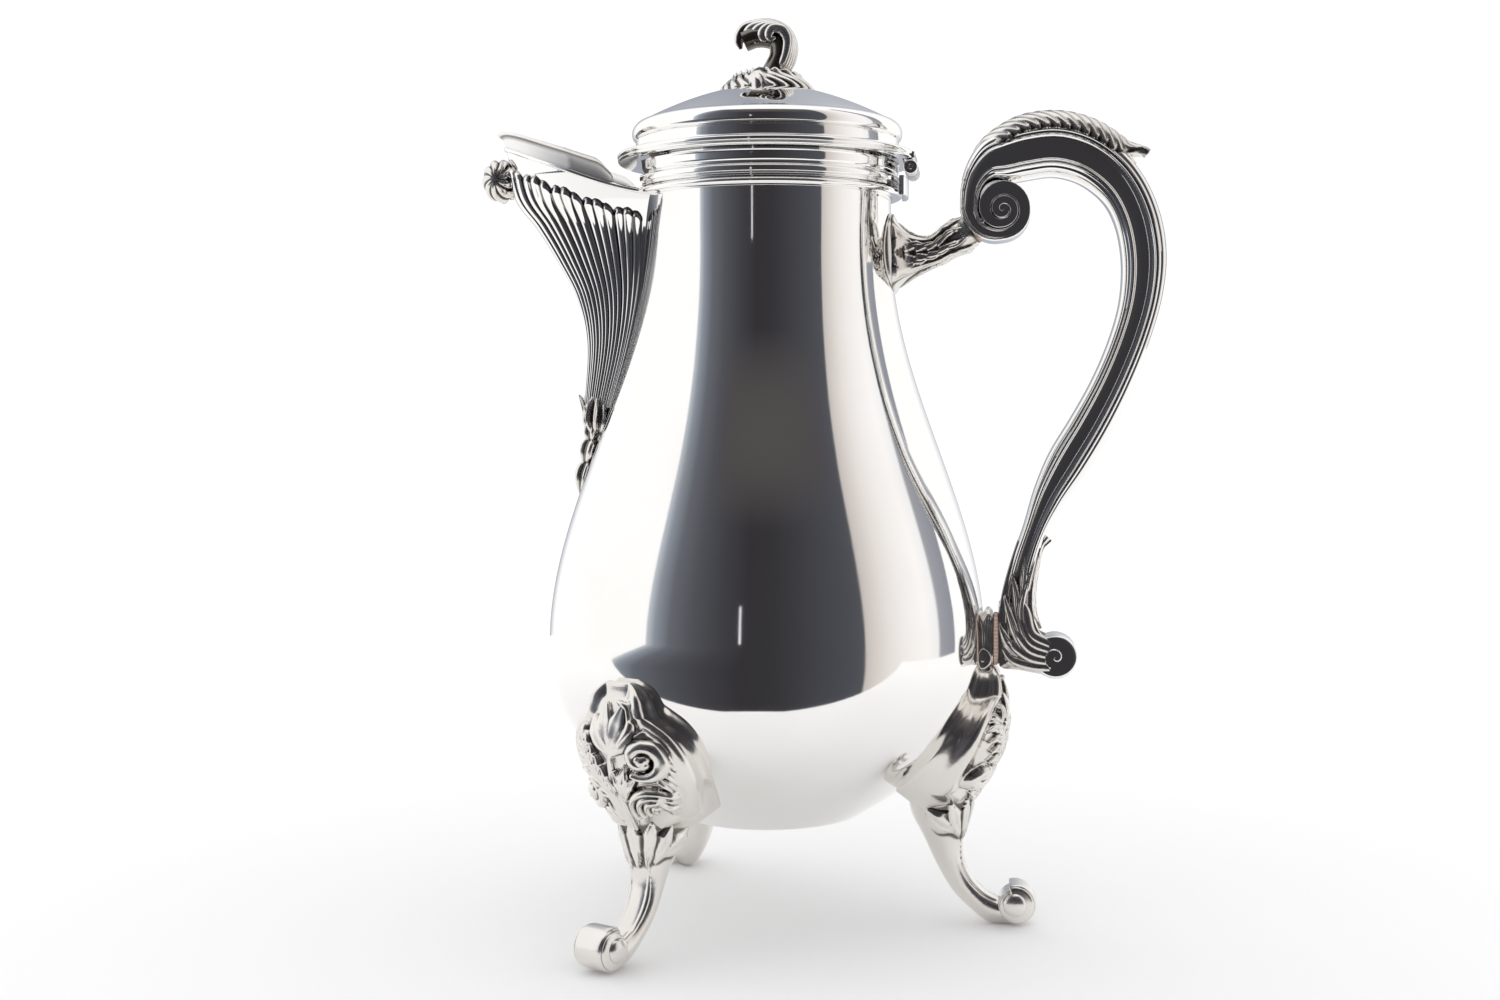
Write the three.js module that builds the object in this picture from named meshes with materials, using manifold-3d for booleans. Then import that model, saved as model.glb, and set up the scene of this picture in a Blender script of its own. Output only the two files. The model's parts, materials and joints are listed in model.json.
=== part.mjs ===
// Silver coffee pot: pear-shaped body on three scroll feet, fluted trough spout, C-scroll handle
// and a hinged domed lid with a crest finial. Millimetres, +Z up. The pot is drawn with its axis
// of revolution on Z, the handle towards +X and the spout towards -X; the finished group is then
// moved so that the origin is the centre of the bounding box's floor.
import * as THREE from 'three';
import { mergeVertices } from 'three/addons/utils/BufferGeometryUtils.js';
import Module from 'manifold-3d';

const wasm = await Module();
wasm.setup();

// ---------------------------------------------------------------- driving dimensions
const GAP = 0.3; // space left between soldered or touching pieces
const WALL = 1.2; // sheet silver

const BOTTOM_Z = 31; // underside of the body above the table
const BASE_RADIUS = 26;
const BELLY_Z = 84;
const BELLY_RADIUS = 65;
const NECK_RADIUS = 36.8;
const NECK_HEIGHT = 21; // straight stretch under the rim
const RIM_Z = 225; // top edge of the neck

const COLLAR_HEIGHT = 9.8;
const COLLAR_RELIEF = 3.7; // how far the neck mouldings stand out

const FLANGE_OVERHANG = 7.7; // beyond the neck
const FLANGE_HEIGHT = 6.4;
const DOME_OVERHANG = 3.3; // beyond the neck
const DOME_HEIGHT = 16.5;
const BEZEL_DEPTH = 6.5;
const BEZEL_CLEARANCE = 0.5;

const HINGE_OUT = 6.2; // hinge axis outside the neck
const HINGE_DROP = 1.8; // hinge axis below the neck's rim
const KNUCKLE_RADIUS = 2.1;
const KNUCKLE_LENGTH = 3.3;
const KNUCKLE_COUNT = 5;
const PIN_RADIUS = 0.8;
const PIN_CLEARANCE = 0.08;

const FINIAL_RADIUS = 16.2;
const FINIAL_MOUND = 4.8;
const CREST_HEIGHT = 16.5;
const CREST_THICKNESS = 12;
const STUD_RADIUS = 1.6;
const STUD_X = 2.4; // the crest's stem stands a little towards the handle

const SPOUT_DEPTH = 62.5; // from the trough's foot up to its rim at the neck
const SPOUT_RIM_RISE = 15.4;
const SPOUT_HALF_WIDTH = 18.5;
const SPOUT_REACH = 42.5; // beyond the neck
const LIP_HEIGHT = 5.8;
const LIP_FLARE = 2.6;
const SCROLL_RADIUS = 5.6;
const SCROLL_HALF_LENGTH = 8;

const LEG_COUNT = 3;
const LEG_WIDTH = 8.6;
const FOOT_SPREAD = 4; // middles of the soles, beyond the belly
const TOE_RADIUS = 4.9;
const TOE_LENGTH = 11.5;
const SHIELD_HALF_HEIGHT = 25.5;
const SHIELD_HALF_WIDTH = 19.5;
const SHIELD_RELIEF = 12.5;

const GRIP_WIDTH = 13;
const GRIP_REACH = 52.3; // beyond the belly
const LEAF_THICKNESS = 1.3;
const LEAF_WIDTH = 11;
const INSULATOR_THICKNESS = 1.2;
const TENON_RADIUS = 2.4;
const TENON_LENGTH = 5;
const RIVET_RADIUS = 0.8;

// levels and distances from the axis that follow from them
const neckZ = RIM_Z - NECK_HEIGHT;
const collarBase = RIM_Z - COLLAR_HEIGHT;
const flangeRadius = NECK_RADIUS + FLANGE_OVERHANG;
const domeRadius = NECK_RADIUS + DOME_OVERHANG;
const rimZ = collarBase + 0.8; // where the trough's rim leaves the neck
const spoutFootZ = rimZ - SPOUT_DEPTH;
const spoutReach = NECK_RADIUS + SPOUT_REACH;
const footRadius = BELLY_RADIUS + FOOT_SPREAD;
const gripReach = BELLY_RADIUS + GRIP_REACH;

// ---------------------------------------------------------------- materials
const silver = new THREE.MeshStandardMaterial({ color: 0xe6e3dc, roughness: 0.12, metalness: 1 });
const castSilver = new THREE.MeshStandardMaterial({ color: 0xd3cfc6, roughness: 0.22, metalness: 1 });
const insulation = new THREE.MeshStandardMaterial({ color: 0xcdb1a1, roughness: 0.45, metalness: 0 });

// ---------------------------------------------------------------- helpers
const pot = new THREE.Group();

function addPiece(name, geometry, material) {
  const mesh = new THREE.Mesh(geometry, material);
  mesh.name = name;
  pot.add(mesh);
  return mesh;
}

function signedVolume(vertices, triangles) {
  const a = new THREE.Vector3();
  const b = new THREE.Vector3();
  const c = new THREE.Vector3();
  let volume = 0;
  for (let i = 0; i < triangles.length; i += 3) {
    a.fromArray(vertices, 3 * triangles[i]);
    b.fromArray(vertices, 3 * triangles[i + 1]);
    c.fromArray(vertices, 3 * triangles[i + 2]);
    volume += a.dot(b.cross(c)) / 6;
  }
  return volume;
}

// a closed geometry as a solid, with its faces turned outwards
function solidOf(geometry) {
  const bare = geometry.clone();
  bare.deleteAttribute('normal');
  bare.deleteAttribute('uv');
  const merged = mergeVertices(bare, 1e-4);
  const vertProperties = new Float32Array(merged.attributes.position.array);
  const triVerts = new Uint32Array(merged.index.array);
  if (signedVolume(vertProperties, triVerts) < 0) {
    for (let i = 0; i < triVerts.length; i += 3) {
      const first = triVerts[i];
      triVerts[i] = triVerts[i + 1];
      triVerts[i + 1] = first;
    }
  }
  return new wasm.Manifold(new wasm.Mesh({ numProp: 3, vertProperties, triVerts }));
}

function geometryOf(solid) {
  const mesh = solid.getMesh();
  const geometry = new THREE.BufferGeometry();
  geometry.setAttribute('position', new THREE.BufferAttribute(new Float32Array(mesh.vertProperties), 3));
  geometry.setIndex(new THREE.BufferAttribute(new Uint32Array(mesh.triVerts), 1));
  geometry.computeVertexNormals();
  return geometry;
}

// a profile of [radius, height] pairs turned about the Z axis
function turned(profile, segments = 40) {
  const points = profile.map(([radius, height]) => new THREE.Vector2(Math.max(radius, 0), height));
  return solidOf(new THREE.LatheGeometry(points, segments).rotateX(Math.PI / 2));
}

// an outline of [x, z] pairs given a thickness along Y
function plate(outline, thickness) {
  const shape = new THREE.Shape(outline.map(([x, z]) => new THREE.Vector2(x, z)));
  const geometry = new THREE.ExtrudeGeometry(shape, { depth: thickness, bevelEnabled: false });
  return solidOf(geometry.rotateX(Math.PI / 2).translate(0, thickness / 2, 0));
}

function block(sizeX, sizeY, sizeZ, x, y, z) {
  return solidOf(new THREE.BoxGeometry(sizeX, sizeY, sizeZ).translate(x, y, z));
}

// a round bar along Y
function bar(radius, length, x, y, z, segments = 16) {
  return solidOf(new THREE.CylinderGeometry(radius, radius, length, segments).translate(x, y, z));
}

function smooth(points, count) {
  const curve = new THREE.SplineCurve(points.map(([x, z]) => new THREE.Vector2(x, z)));
  return curve.getPoints(count).map((point) => [point.x, point.y]);
}

// rings of equally many points joined into a closed solid, with a fan on each end
function lofted(rings) {
  const size = rings[0].length;
  const positions = rings.flat(2);
  const index = [];
  rings.slice(1).forEach((ring, level) => {
    for (let i = 0; i < size; i += 1) {
      const next = (i + 1) % size;
      const low = level * size;
      const high = low + size;
      index.push(low + i, low + next, high + next, low + i, high + next, high + i);
    }
  });
  const ends = [0, (rings.length - 1) * size];
  ends.forEach((start, end) => {
    const ring = rings[end === 0 ? 0 : rings.length - 1];
    const centre = [0, 1, 2].map((k) => ring.reduce((sum, point) => sum + point[k], 0) / size);
    const hub = positions.length / 3;
    positions.push(...centre);
    for (let i = 0; i < size; i += 1) {
      const next = (i + 1) % size;
      index.push(hub, start + (end === 0 ? next : i), start + (end === 0 ? i : next));
    }
  });
  const geometry = new THREE.BufferGeometry();
  geometry.setAttribute('position', new THREE.Float32BufferAttribute(positions, 3));
  geometry.setIndex(index);
  return solidOf(geometry);
}

// ---------------------------------------------------------------- body profile
const BOWL_POWER = 2.4;
const SHOULDER_POWER = 0.955;

function bodyRadius(z) {
  if (z <= BELLY_Z) {
    const t = Math.max(z - BOTTOM_Z, 0) / (BELLY_Z - BOTTOM_Z);
    return BASE_RADIUS + (BELLY_RADIUS - BASE_RADIUS) * (1 - (1 - t) ** BOWL_POWER);
  }
  const u = Math.min((z - BELLY_Z) / (neckZ - BELLY_Z), 1) ** SHOULDER_POWER;
  return NECK_RADIUS + (BELLY_RADIUS - NECK_RADIUS) * 0.5 * (1 + Math.cos(Math.PI * u));
}

function bodyProfile(offset, steps, low, high) {
  return Array.from({ length: steps + 1 }, (_, i) => {
    const z = low + ((high - low) * i) / steps;
    return [bodyRadius(z) + offset, z];
  });
}

const BODY_SEGMENTS = 36;
const BODY_ROWS = 20;
const outerWall = bodyProfile(0, BODY_ROWS, BOTTOM_Z, RIM_Z);
const innerWall = bodyProfile(-WALL, BODY_ROWS / 2, BOTTOM_Z + WALL, RIM_Z).reverse();
const bodyBlank = turned([[0, BOTTOM_Z], ...outerWall, ...innerWall, [0, BOTTOM_Z + WALL]], BODY_SEGMENTS);

// the filled body with room left around it, for trimming whatever is soldered to the outside
const seatWall = bodyProfile(GAP, BODY_ROWS, BOTTOM_Z, RIM_Z);
const seatTop = RIM_Z + 30;
const bodySeat = turned([[0, BOTTOM_Z - GAP], [BASE_RADIUS + GAP, BOTTOM_Z - GAP], ...seatWall,
  [NECK_RADIUS + GAP, seatTop], [0, seatTop]], BODY_SEGMENTS);

// ---------------------------------------------------------------- spout
const SPOUT_SECTIONS = 9;
const SPOUT_SIDES = 12;
const spoutTipZ = rimZ + SPOUT_RIM_RISE;

// half-width and front line of the trough at a height
function spoutWidth(z) {
  const t = THREE.MathUtils.clamp((z - spoutFootZ) / (rimZ - spoutFootZ), 0, 1.1);
  return SPOUT_HALF_WIDTH * (0.25 + 0.37 * t + 0.38 * t ** 5);
}

const frontCurve = new THREE.SplineCurve([
  new THREE.Vector2(spoutFootZ, bodyRadius(spoutFootZ) + 8.6),
  new THREE.Vector2(spoutFootZ + 20, bodyRadius(spoutFootZ) + 7.7),
  new THREE.Vector2(spoutFootZ + 33, spoutReach - 22),
  new THREE.Vector2(spoutFootZ + 44, spoutReach - 16.2),
  new THREE.Vector2(rimZ - 8, spoutReach - 9.6),
  new THREE.Vector2(rimZ, spoutReach - 3.6),
  new THREE.Vector2(spoutTipZ, spoutReach),
]);
const frontLine = frontCurve.getPoints(60);

function spoutFront(z) {
  const after = frontLine.findIndex((point) => point.x >= z);
  if (after === 0) return frontLine[0].y;
  if (after < 0) return frontLine[frontLine.length - 1].y;
  const low = frontLine[after - 1];
  const high = frontLine[after];
  return THREE.MathUtils.mapLinear(z, low.x, high.x, low.y, high.y);
}

// a point of the trough's skin: share runs up from its foot to its rim, turn goes round its nose
function spoutPoint(share, turn, inset, footLift = 0) {
  const rim = rimZ + SPOUT_RIM_RISE * Math.max(Math.cos(turn), 0) ** 1.5;
  const foot = spoutFootZ + footLift;
  const z = foot + (rim - foot) * share;
  const width = spoutWidth(z) - inset;
  const root = Math.sqrt(Math.max(bodyRadius(z) ** 2 - width ** 2, 0));
  const reach = root + (spoutFront(z) - inset - root) * Math.cos(turn);
  return [-reach, width * Math.sin(turn), z];
}

function troughSolid(inset, footLift, topShare, backX) {
  const rings = [];
  for (let level = 0; level <= SPOUT_SECTIONS; level += 1) {
    const share = (topShare * level) / SPOUT_SECTIONS;
    const ring = [];
    for (let i = 0; i <= SPOUT_SIDES; i += 1) {
      const turn = -Math.PI / 2 + (Math.PI * i) / SPOUT_SIDES;
      ring.push(spoutPoint(share, turn, inset, footLift));
    }
    const [, y, z] = ring[ring.length - 1];
    ring.push([backX, y, z], [backX, -y, z]);
    rings.push(ring);
  }
  return lofted(rings);
}

const PASSAGE_LIFT = 6;
const insideNeck = -(NECK_RADIUS - 10);
const troughOuter = troughSolid(0, 0, 1, insideNeck);
const troughCleared = troughSolid(-GAP, 0, 1, insideNeck);
const passage = troughSolid(WALL, PASSAGE_LIFT, 1.25, insideNeck);
addPiece('spout_trough', geometryOf(troughOuter.subtract(passage).subtract(bodySeat)), silver);

// flared lip above the rim wire; it stops short of the lid's flange
const LIP_STEPS = 16;
const lipEnd = Math.acos((flangeRadius + 3.5 - NECK_RADIUS) / (spoutReach - NECK_RADIUS));
const lipRings = [];
for (let i = 0; i <= LIP_STEPS; i += 1) {
  const turn = lipEnd * (-1 + (2 * i) / LIP_STEPS);
  const [x, y, z] = spoutPoint(1, turn, 0);
  const outX = -Math.cos(turn);
  const outY = Math.sin(turn);
  const lift = LIP_HEIGHT * (1 - 0.4 * Math.cos(turn) ** 16);
  lipRings.push([
    [x, y, z + GAP],
    [x + LIP_FLARE * outX, y + LIP_FLARE * outY, z + lift],
    [x + (LIP_FLARE - WALL) * outX, y + (LIP_FLARE - WALL) * outY, z + lift + 0.3],
    [x - WALL * outX, y - WALL * outY, z + GAP],
  ]);
}
const flangeSweep = turned([[0, RIM_Z - 4], [flangeRadius + 1, RIM_Z - 4], [flangeRadius + 1, RIM_Z + 12],
  [0, RIM_Z + 12]], BODY_SEGMENTS);
addPiece('spout_lip', geometryOf(lofted(lipRings).subtract(flangeSweep)), silver);

// gadrooned roll under the tip of the spout
const scrollZ = rimZ + 6;
const scrollX = -(spoutReach + 1.9);
const rollSteps = 8;
const rollProfile = Array.from({ length: rollSteps + 1 }, (_, i) => {
  const angle = -Math.PI / 2 + (Math.PI * i) / rollSteps;
  const radius = SCROLL_RADIUS * Math.max(Math.cos(angle), 0) ** 0.6;
  return new THREE.Vector2(radius, SCROLL_HALF_LENGTH * Math.sin(angle));
});
const rollBlank = new THREE.LatheGeometry(rollProfile, 16).scale(1, 1, 1.2).translate(scrollX, 0, scrollZ);
addPiece('spout_tip_scroll', geometryOf(solidOf(rollBlank).subtract(troughCleared)), castSilver);

// an ornament lying on the body: an ellipsoid centred on the surface and trimmed to it
function surfaceBoss(z, azimuth, halfHeight, halfWidth, relief, tilt, detail = 16) {
  const geometry = new THREE.SphereGeometry(1, detail, Math.round(detail * 0.7));
  geometry.scale(relief, halfWidth, halfHeight).rotateY(tilt);
  geometry.translate(bodyRadius(z), 0, z).rotateZ(azimuth);
  return solidOf(geometry);
}

// angle by which the wall at a height leans outwards (positive) or inwards
function wallLean(z) {
  return Math.atan2(bodyRadius(z + 1) - bodyRadius(z - 1), 2);
}

const leafZ = spoutFootZ - 5.6;
const dropZ = leafZ - 14.6;
addPiece('spout_leaf', geometryOf(surfaceBoss(leafZ, Math.PI, 5.2, 5.6, 6.4, wallLean(leafZ), 12)
  .subtract(bodySeat)), castSilver);
addPiece('spout_drop', geometryOf(surfaceBoss(dropZ, Math.PI, 8.6, 4, 3.6, wallLean(dropZ), 12)
  .subtract(bodySeat)), castSilver);

// ---------------------------------------------------------------- body and neck mouldings
// the body is two spun halves, soldered at its widest level
const bodyWhole = bodyBlank.subtract(passage);
const halfSpan = 4 * BELLY_RADIUS;
const belowSeam = block(halfSpan, halfSpan, halfSpan, 0, 0, BELLY_Z - (halfSpan + GAP) / 2);
const aboveSeam = block(halfSpan, halfSpan, halfSpan, 0, 0, BELLY_Z + (halfSpan + GAP) / 2);
addPiece('body_lower_shell', geometryOf(bodyWhole.intersect(belowSeam)), silver);
addPiece('body_upper_shell', geometryOf(bodyWhole.intersect(aboveSeam)), silver);

const neckSeat = NECK_RADIUS + GAP;
const wireTop = collarBase + 2;
const spoutCut = block(60, 2 * (SPOUT_HALF_WIDTH + 1), 60, -NECK_RADIUS - 14, 0, RIM_Z);
const collarProfile = [
  [neckSeat, wireTop + GAP], [NECK_RADIUS + 2.4, wireTop + GAP], [NECK_RADIUS + 2.6, wireTop + 1.2],
  [NECK_RADIUS + 3.1, wireTop + 1.7], [NECK_RADIUS + 3.2, wireTop + 2.8], [NECK_RADIUS + 2.6, wireTop + 3.6],
  [NECK_RADIUS + 2.2, wireTop + 4.8], [NECK_RADIUS + 2.3, wireTop + 6], [NECK_RADIUS + 3, RIM_Z],
  [neckSeat, RIM_Z], [neckSeat, wireTop + GAP],
];
const wireProfile = [
  [neckSeat, collarBase], [NECK_RADIUS + COLLAR_RELIEF - 0.6, collarBase],
  [NECK_RADIUS + COLLAR_RELIEF, collarBase + 0.6], [NECK_RADIUS + COLLAR_RELIEF, wireTop - 0.6],
  [NECK_RADIUS + COLLAR_RELIEF - 0.6, wireTop], [neckSeat, wireTop], [neckSeat, collarBase],
];
addPiece('neck_collar', geometryOf(turned(collarProfile, BODY_SEGMENTS).subtract(spoutCut)), silver);
addPiece('neck_wire', geometryOf(turned(wireProfile, BODY_SEGMENTS).subtract(spoutCut)), silver);

// ---------------------------------------------------------------- hinge
const hingeX = NECK_RADIUS + HINGE_OUT;
const hingeZ = RIM_Z - HINGE_DROP;
const hingeLength = KNUCKLE_COUNT * KNUCKLE_LENGTH + (KNUCKLE_COUNT - 1) * GAP;
for (let i = 0; i < KNUCKLE_COUNT; i += 1) {
  const y = -hingeLength / 2 + KNUCKLE_LENGTH / 2 + i * (KNUCKLE_LENGTH + GAP);
  const knuckle = bar(KNUCKLE_RADIUS, KNUCKLE_LENGTH, hingeX, y, hingeZ)
    .subtract(bar(PIN_RADIUS + PIN_CLEARANCE, 2 * KNUCKLE_LENGTH, hingeX, y, hingeZ));
  const side = i % 2 === 0 ? 'body' : 'lid';
  addPiece(`hinge_${side}_knuckle_${i + 1}`, geometryOf(knuckle), silver);
}
addPiece('hinge_pin', geometryOf(bar(PIN_RADIUS, hingeLength + 1.2, hingeX, 0, hingeZ)), silver);

// curved plate soldered to the neck wire, just under the body's knuckles
const plateInner = NECK_RADIUS + COLLAR_RELIEF + GAP;
const plateTop = hingeZ - KNUCKLE_RADIUS - GAP;
const plateRing = turned([[plateInner, collarBase], [plateInner + WALL, collarBase],
  [plateInner + WALL, plateTop], [plateInner, plateTop], [plateInner, collarBase]], BODY_SEGMENTS);
const hingeWindow = block(20, hingeLength, 40, hingeX, 0, hingeZ);
addPiece('hinge_body_leaf', geometryOf(plateRing.intersect(hingeWindow)), silver);

// ---------------------------------------------------------------- lid
const flangeBase = RIM_Z + 2 * GAP;
const flangeTop = flangeBase + FLANGE_HEIGHT;
const bezelOuter = NECK_RADIUS - WALL - BEZEL_CLEARANCE;
const flangeProfile = [
  [bezelOuter, flangeBase], [flangeRadius - 0.8, flangeBase], [flangeRadius, flangeBase + 0.7],
  [flangeRadius - 0.5, flangeBase + 1.4], [flangeRadius - 0.2, flangeBase + 2.2],
  [flangeRadius - 1.3, flangeBase + 2.9], [domeRadius + 0.4, flangeBase + 4], [domeRadius - 0.6, flangeTop],
  [bezelOuter, flangeTop], [bezelOuter, flangeBase],
];
const leafSpace = 2 * GAP;
const notchX = hingeX - KNUCKLE_RADIUS - GAP;
const hingeNotch = block(20, hingeLength + 2 * leafSpace, 30, notchX + 10, 0, flangeBase + 12);
addPiece('lid_flange', geometryOf(turned(flangeProfile, BODY_SEGMENTS).subtract(hingeNotch)), silver);

const domeBase = flangeTop + GAP;
const domeTop = domeBase + DOME_HEIGHT;
const CROWN_ROWS = 6;
function domeProfile(offset) {
  const shoulderZ = domeBase + 5;
  const shoulder = domeRadius - 3;
  const edge = [[domeRadius - 0.6 + offset, domeBase], [domeRadius + offset, domeBase + 1.6],
    [domeRadius - 0.8 + offset, domeBase + 3.8]];
  const crown = Array.from({ length: CROWN_ROWS + 1 }, (_, i) => {
    const share = 1 - i / CROWN_ROWS;
    return [shoulder * share, shoulderZ + (domeTop - shoulderZ) * (1 - share ** 1.75) + offset];
  });
  return [...edge, ...crown];
}
const domeOuter = domeProfile(0);
const domeInner = domeProfile(-WALL).reverse();
const studHole = (radius) => solidOf(new THREE.CylinderGeometry(radius, radius, 60, 16)
  .rotateX(Math.PI / 2).translate(STUD_X, 0, domeTop));
const domeShell = turned([...domeOuter, ...domeInner, domeOuter[0]], BODY_SEGMENTS);
addPiece('lid_dome', geometryOf(domeShell.subtract(studHole(STUD_RADIUS + 2 * GAP))), silver);

// sleeve that guides the lid inside the neck, stepped in by a gap where the flange is soldered to it
const bezelBase = flangeBase - BEZEL_DEPTH;
const stepZ = flangeBase - GAP;
addPiece('lid_bezel', geometryOf(turned([
  [bezelOuter - WALL, bezelBase], [bezelOuter, bezelBase], [bezelOuter, stepZ], [bezelOuter - GAP, stepZ],
  [bezelOuter - GAP, flangeTop], [bezelOuter - WALL, flangeTop], [bezelOuter - WALL, bezelBase],
], BODY_SEGMENTS)), silver);

const lidLeafBase = hingeZ + KNUCKLE_RADIUS + GAP;
const lidLeafInner = notchX + GAP;
const lidLeafOuter = hingeX + 1.2;
const LID_LEAF_THICKNESS = 2.2;
const lidLeaf = block(lidLeafOuter - lidLeafInner, hingeLength, LID_LEAF_THICKNESS,
  (lidLeafOuter + lidLeafInner) / 2, 0, lidLeafBase + LID_LEAF_THICKNESS / 2);
addPiece('hinge_lid_leaf', geometryOf(lidLeaf), silver);

// ---------------------------------------------------------------- finial
const domeSeat = turned([[0, domeBase - 5], [domeRadius + GAP, domeBase - 5], ...domeProfile(GAP)],
  BODY_SEGMENTS);
const MOUND_STEPS = 5;
const MOUND_SKIRT = 4; // how far the mound reaches down the dome's slope
const moundSide = Array.from({ length: MOUND_STEPS }, (_, i) => {
  const share = i / MOUND_STEPS;
  const radius = FINIAL_RADIUS * Math.cos((share * Math.PI) / 2) ** 0.8;
  return [radius, domeTop - MOUND_SKIRT + (FINIAL_MOUND + MOUND_SKIRT) * share ** 1.3];
});
const moundBase = domeTop - MOUND_SKIRT - 2;
const mound = turned([[0, moundBase], ...moundSide, [0, domeTop + FINIAL_MOUND]], 20);
const finialBase = mound.subtract(domeSeat).subtract(studHole(STUD_RADIUS + GAP));
addPiece('finial_base', geometryOf(finialBase), castSilver);

// the crest curls over towards the spout; its outline's heights are shares of its own height
const crestZ = domeTop + FINIAL_MOUND - 1.2;
const crestOutline = smooth([[-0.5, 0], [-1.6, 0.24], [-3, 0.35], [-6, 0.41], [-8.9, 0.43], [-9.8, 0.59],
  [-8.6, 0.78], [-5.6, 0.94], [-1.5, 1], [3, 0.93], [6.6, 0.74], [8.6, 0.49], [8.4, 0.26], [6.6, 0.09],
  [5.4, 0]].map(([x, share]) => [x, crestZ + share * CREST_HEIGHT]), 30);
const moundSeat = turned([[0, moundBase], [FINIAL_RADIUS, moundBase], [FINIAL_RADIUS, domeTop],
  [8, domeTop + FINIAL_MOUND + GAP], [0, domeTop + FINIAL_MOUND + GAP]], 20);
const studTop = crestZ + 6.5;
const studBase = domeTop - 9;
const studLength = studTop - studBase;
const studAt = (radius, length, z) => solidOf(new THREE.CylinderGeometry(radius, radius, length, 16)
  .rotateX(Math.PI / 2).translate(STUD_X, 0, z));
const studSocket = studAt(STUD_RADIUS + GAP, studLength + 2 * GAP, (studTop + studBase) / 2);
addPiece('finial_crest', geometryOf(plate(crestOutline, CREST_THICKNESS).subtract(moundSeat)
  .subtract(studSocket)), castSilver);
addPiece('finial_stud', geometryOf(studAt(STUD_RADIUS, studLength, (studTop + studBase) / 2)), silver);
const NUT_RADIUS = 4;
const NUT_HEIGHT = 3;
const nutZ = domeTop - WALL - GAP - 3.2;
const nut = solidOf(new THREE.CylinderGeometry(NUT_RADIUS, NUT_RADIUS, NUT_HEIGHT, 6).rotateX(Math.PI / 2)
  .translate(STUD_X, 0, nutZ));
addPiece('finial_nut', geometryOf(nut.subtract(studHole(STUD_RADIUS + GAP))), silver);

// ---------------------------------------------------------------- legs
const shieldZ = BELLY_Z - 30.5;
const shieldTilt = wallLean(shieldZ);
const toeR = footRadius + 5.9;
const legTop = shieldZ - 12.5; // the leg runs up under the shield's lower half
const legOutline = [
  ...smooth([[footRadius - 6.2, legTop], [footRadius - 8.6, legTop - 8], [footRadius - 10, legTop - 17],
    [footRadius - 8.6, 16], [footRadius - 4, 10], [footRadius + 2, 7.6]], 12),
  [toeR, 8], [toeR, 3], [footRadius + 3, 0], [footRadius - 3, 0],
  ...smooth([[footRadius - 6.4, 3], [footRadius - 12.6, 8.4], [footRadius - 17, 15.6],
    [footRadius - 21.4, legTop - 16.4], [footRadius - 25, legTop - 7], [footRadius - 24, legTop]], 10),
];
const toe = bar(TOE_RADIUS, TOE_LENGTH, toeR, 0, TOE_RADIUS + 1.6, 20);
for (let i = 0; i < LEG_COUNT; i += 1) {
  const azimuth = (2 * Math.PI * i) / LEG_COUNT;
  const degrees = (azimuth * 180) / Math.PI;
  const side = ['handle', 'far', 'near'][i];
  const shieldGrown = (growth) => surfaceBoss(shieldZ, azimuth, SHIELD_HALF_HEIGHT + growth,
    SHIELD_HALF_WIDTH + growth, SHIELD_RELIEF + growth, shieldTilt, 18);
  addPiece(`foot_shield_${side}`, geometryOf(shieldGrown(0).subtract(bodySeat)), castSilver);
  const leg = plate(legOutline, LEG_WIDTH).add(toe).rotate([0, 0, degrees]);
  addPiece(`leg_${side}`, geometryOf(leg.subtract(shieldGrown(GAP)).subtract(bodySeat)), castSilver);
}

// ---------------------------------------------------------------- handle sockets and insulators
// the upper joint slants; it is named by the middle of the socket's end face and the way it faces
const plateZ = neckZ - 5.2; // middle of the plate on the neck
const upperJoint = [gripReach - 57.1, plateZ + 6.6];
const upperFacing = new THREE.Vector2(0.839, 0.545);
const JOINT_HALF = 4.6;
const lowerJointX = BELLY_RADIUS + 2.4;
const lowerJointZ = BELLY_Z + 1.2;
const LOWER_HALF = 7.8;

// a plate of the given thickness along the joint's facing, starting at a distance from the face
function acrossUpper(start, thickness, halfHeight, width) {
  const along = (distance, across) => [
    upperJoint[0] + upperFacing.x * distance - upperFacing.y * across,
    upperJoint[1] + upperFacing.y * distance + upperFacing.x * across,
  ];
  return plate([along(start, -halfHeight), along(start + thickness, -halfHeight),
    along(start + thickness, halfHeight), along(start, halfHeight)], width);
}

// a tenon through the joint's middle
function tenonUpper(radius, reach) {
  const tilt = Math.atan2(upperFacing.x, upperFacing.y);
  const middle = INSULATOR_THICKNESS / 2 + GAP;
  return solidOf(new THREE.CylinderGeometry(radius, radius, 2 * reach, 16).rotateX(Math.PI / 2).rotateY(tilt)
    .translate(upperJoint[0] + upperFacing.x * middle, 0, upperJoint[1] + upperFacing.y * middle));
}

const rivetAt = (radius, x, z, length) => bar(radius, length, x, 0, z, 12);
const rivetReach = INSULATOR_THICKNESS / 2 + TENON_LENGTH * 0.6;
const fromUpperJoint = (distance) => [upperJoint[0] + upperFacing.x * distance,
  upperJoint[1] + upperFacing.y * distance];
const upperSocketRivet = fromUpperJoint(1 - rivetReach);
const upperGripRivet = fromUpperJoint(1 + rivetReach);
const lowerGripRivet = [lowerJointX + GAP + INSULATOR_THICKNESS + 3.4, lowerJointZ];
const SOCKET_WIDTH = 11;

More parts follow.
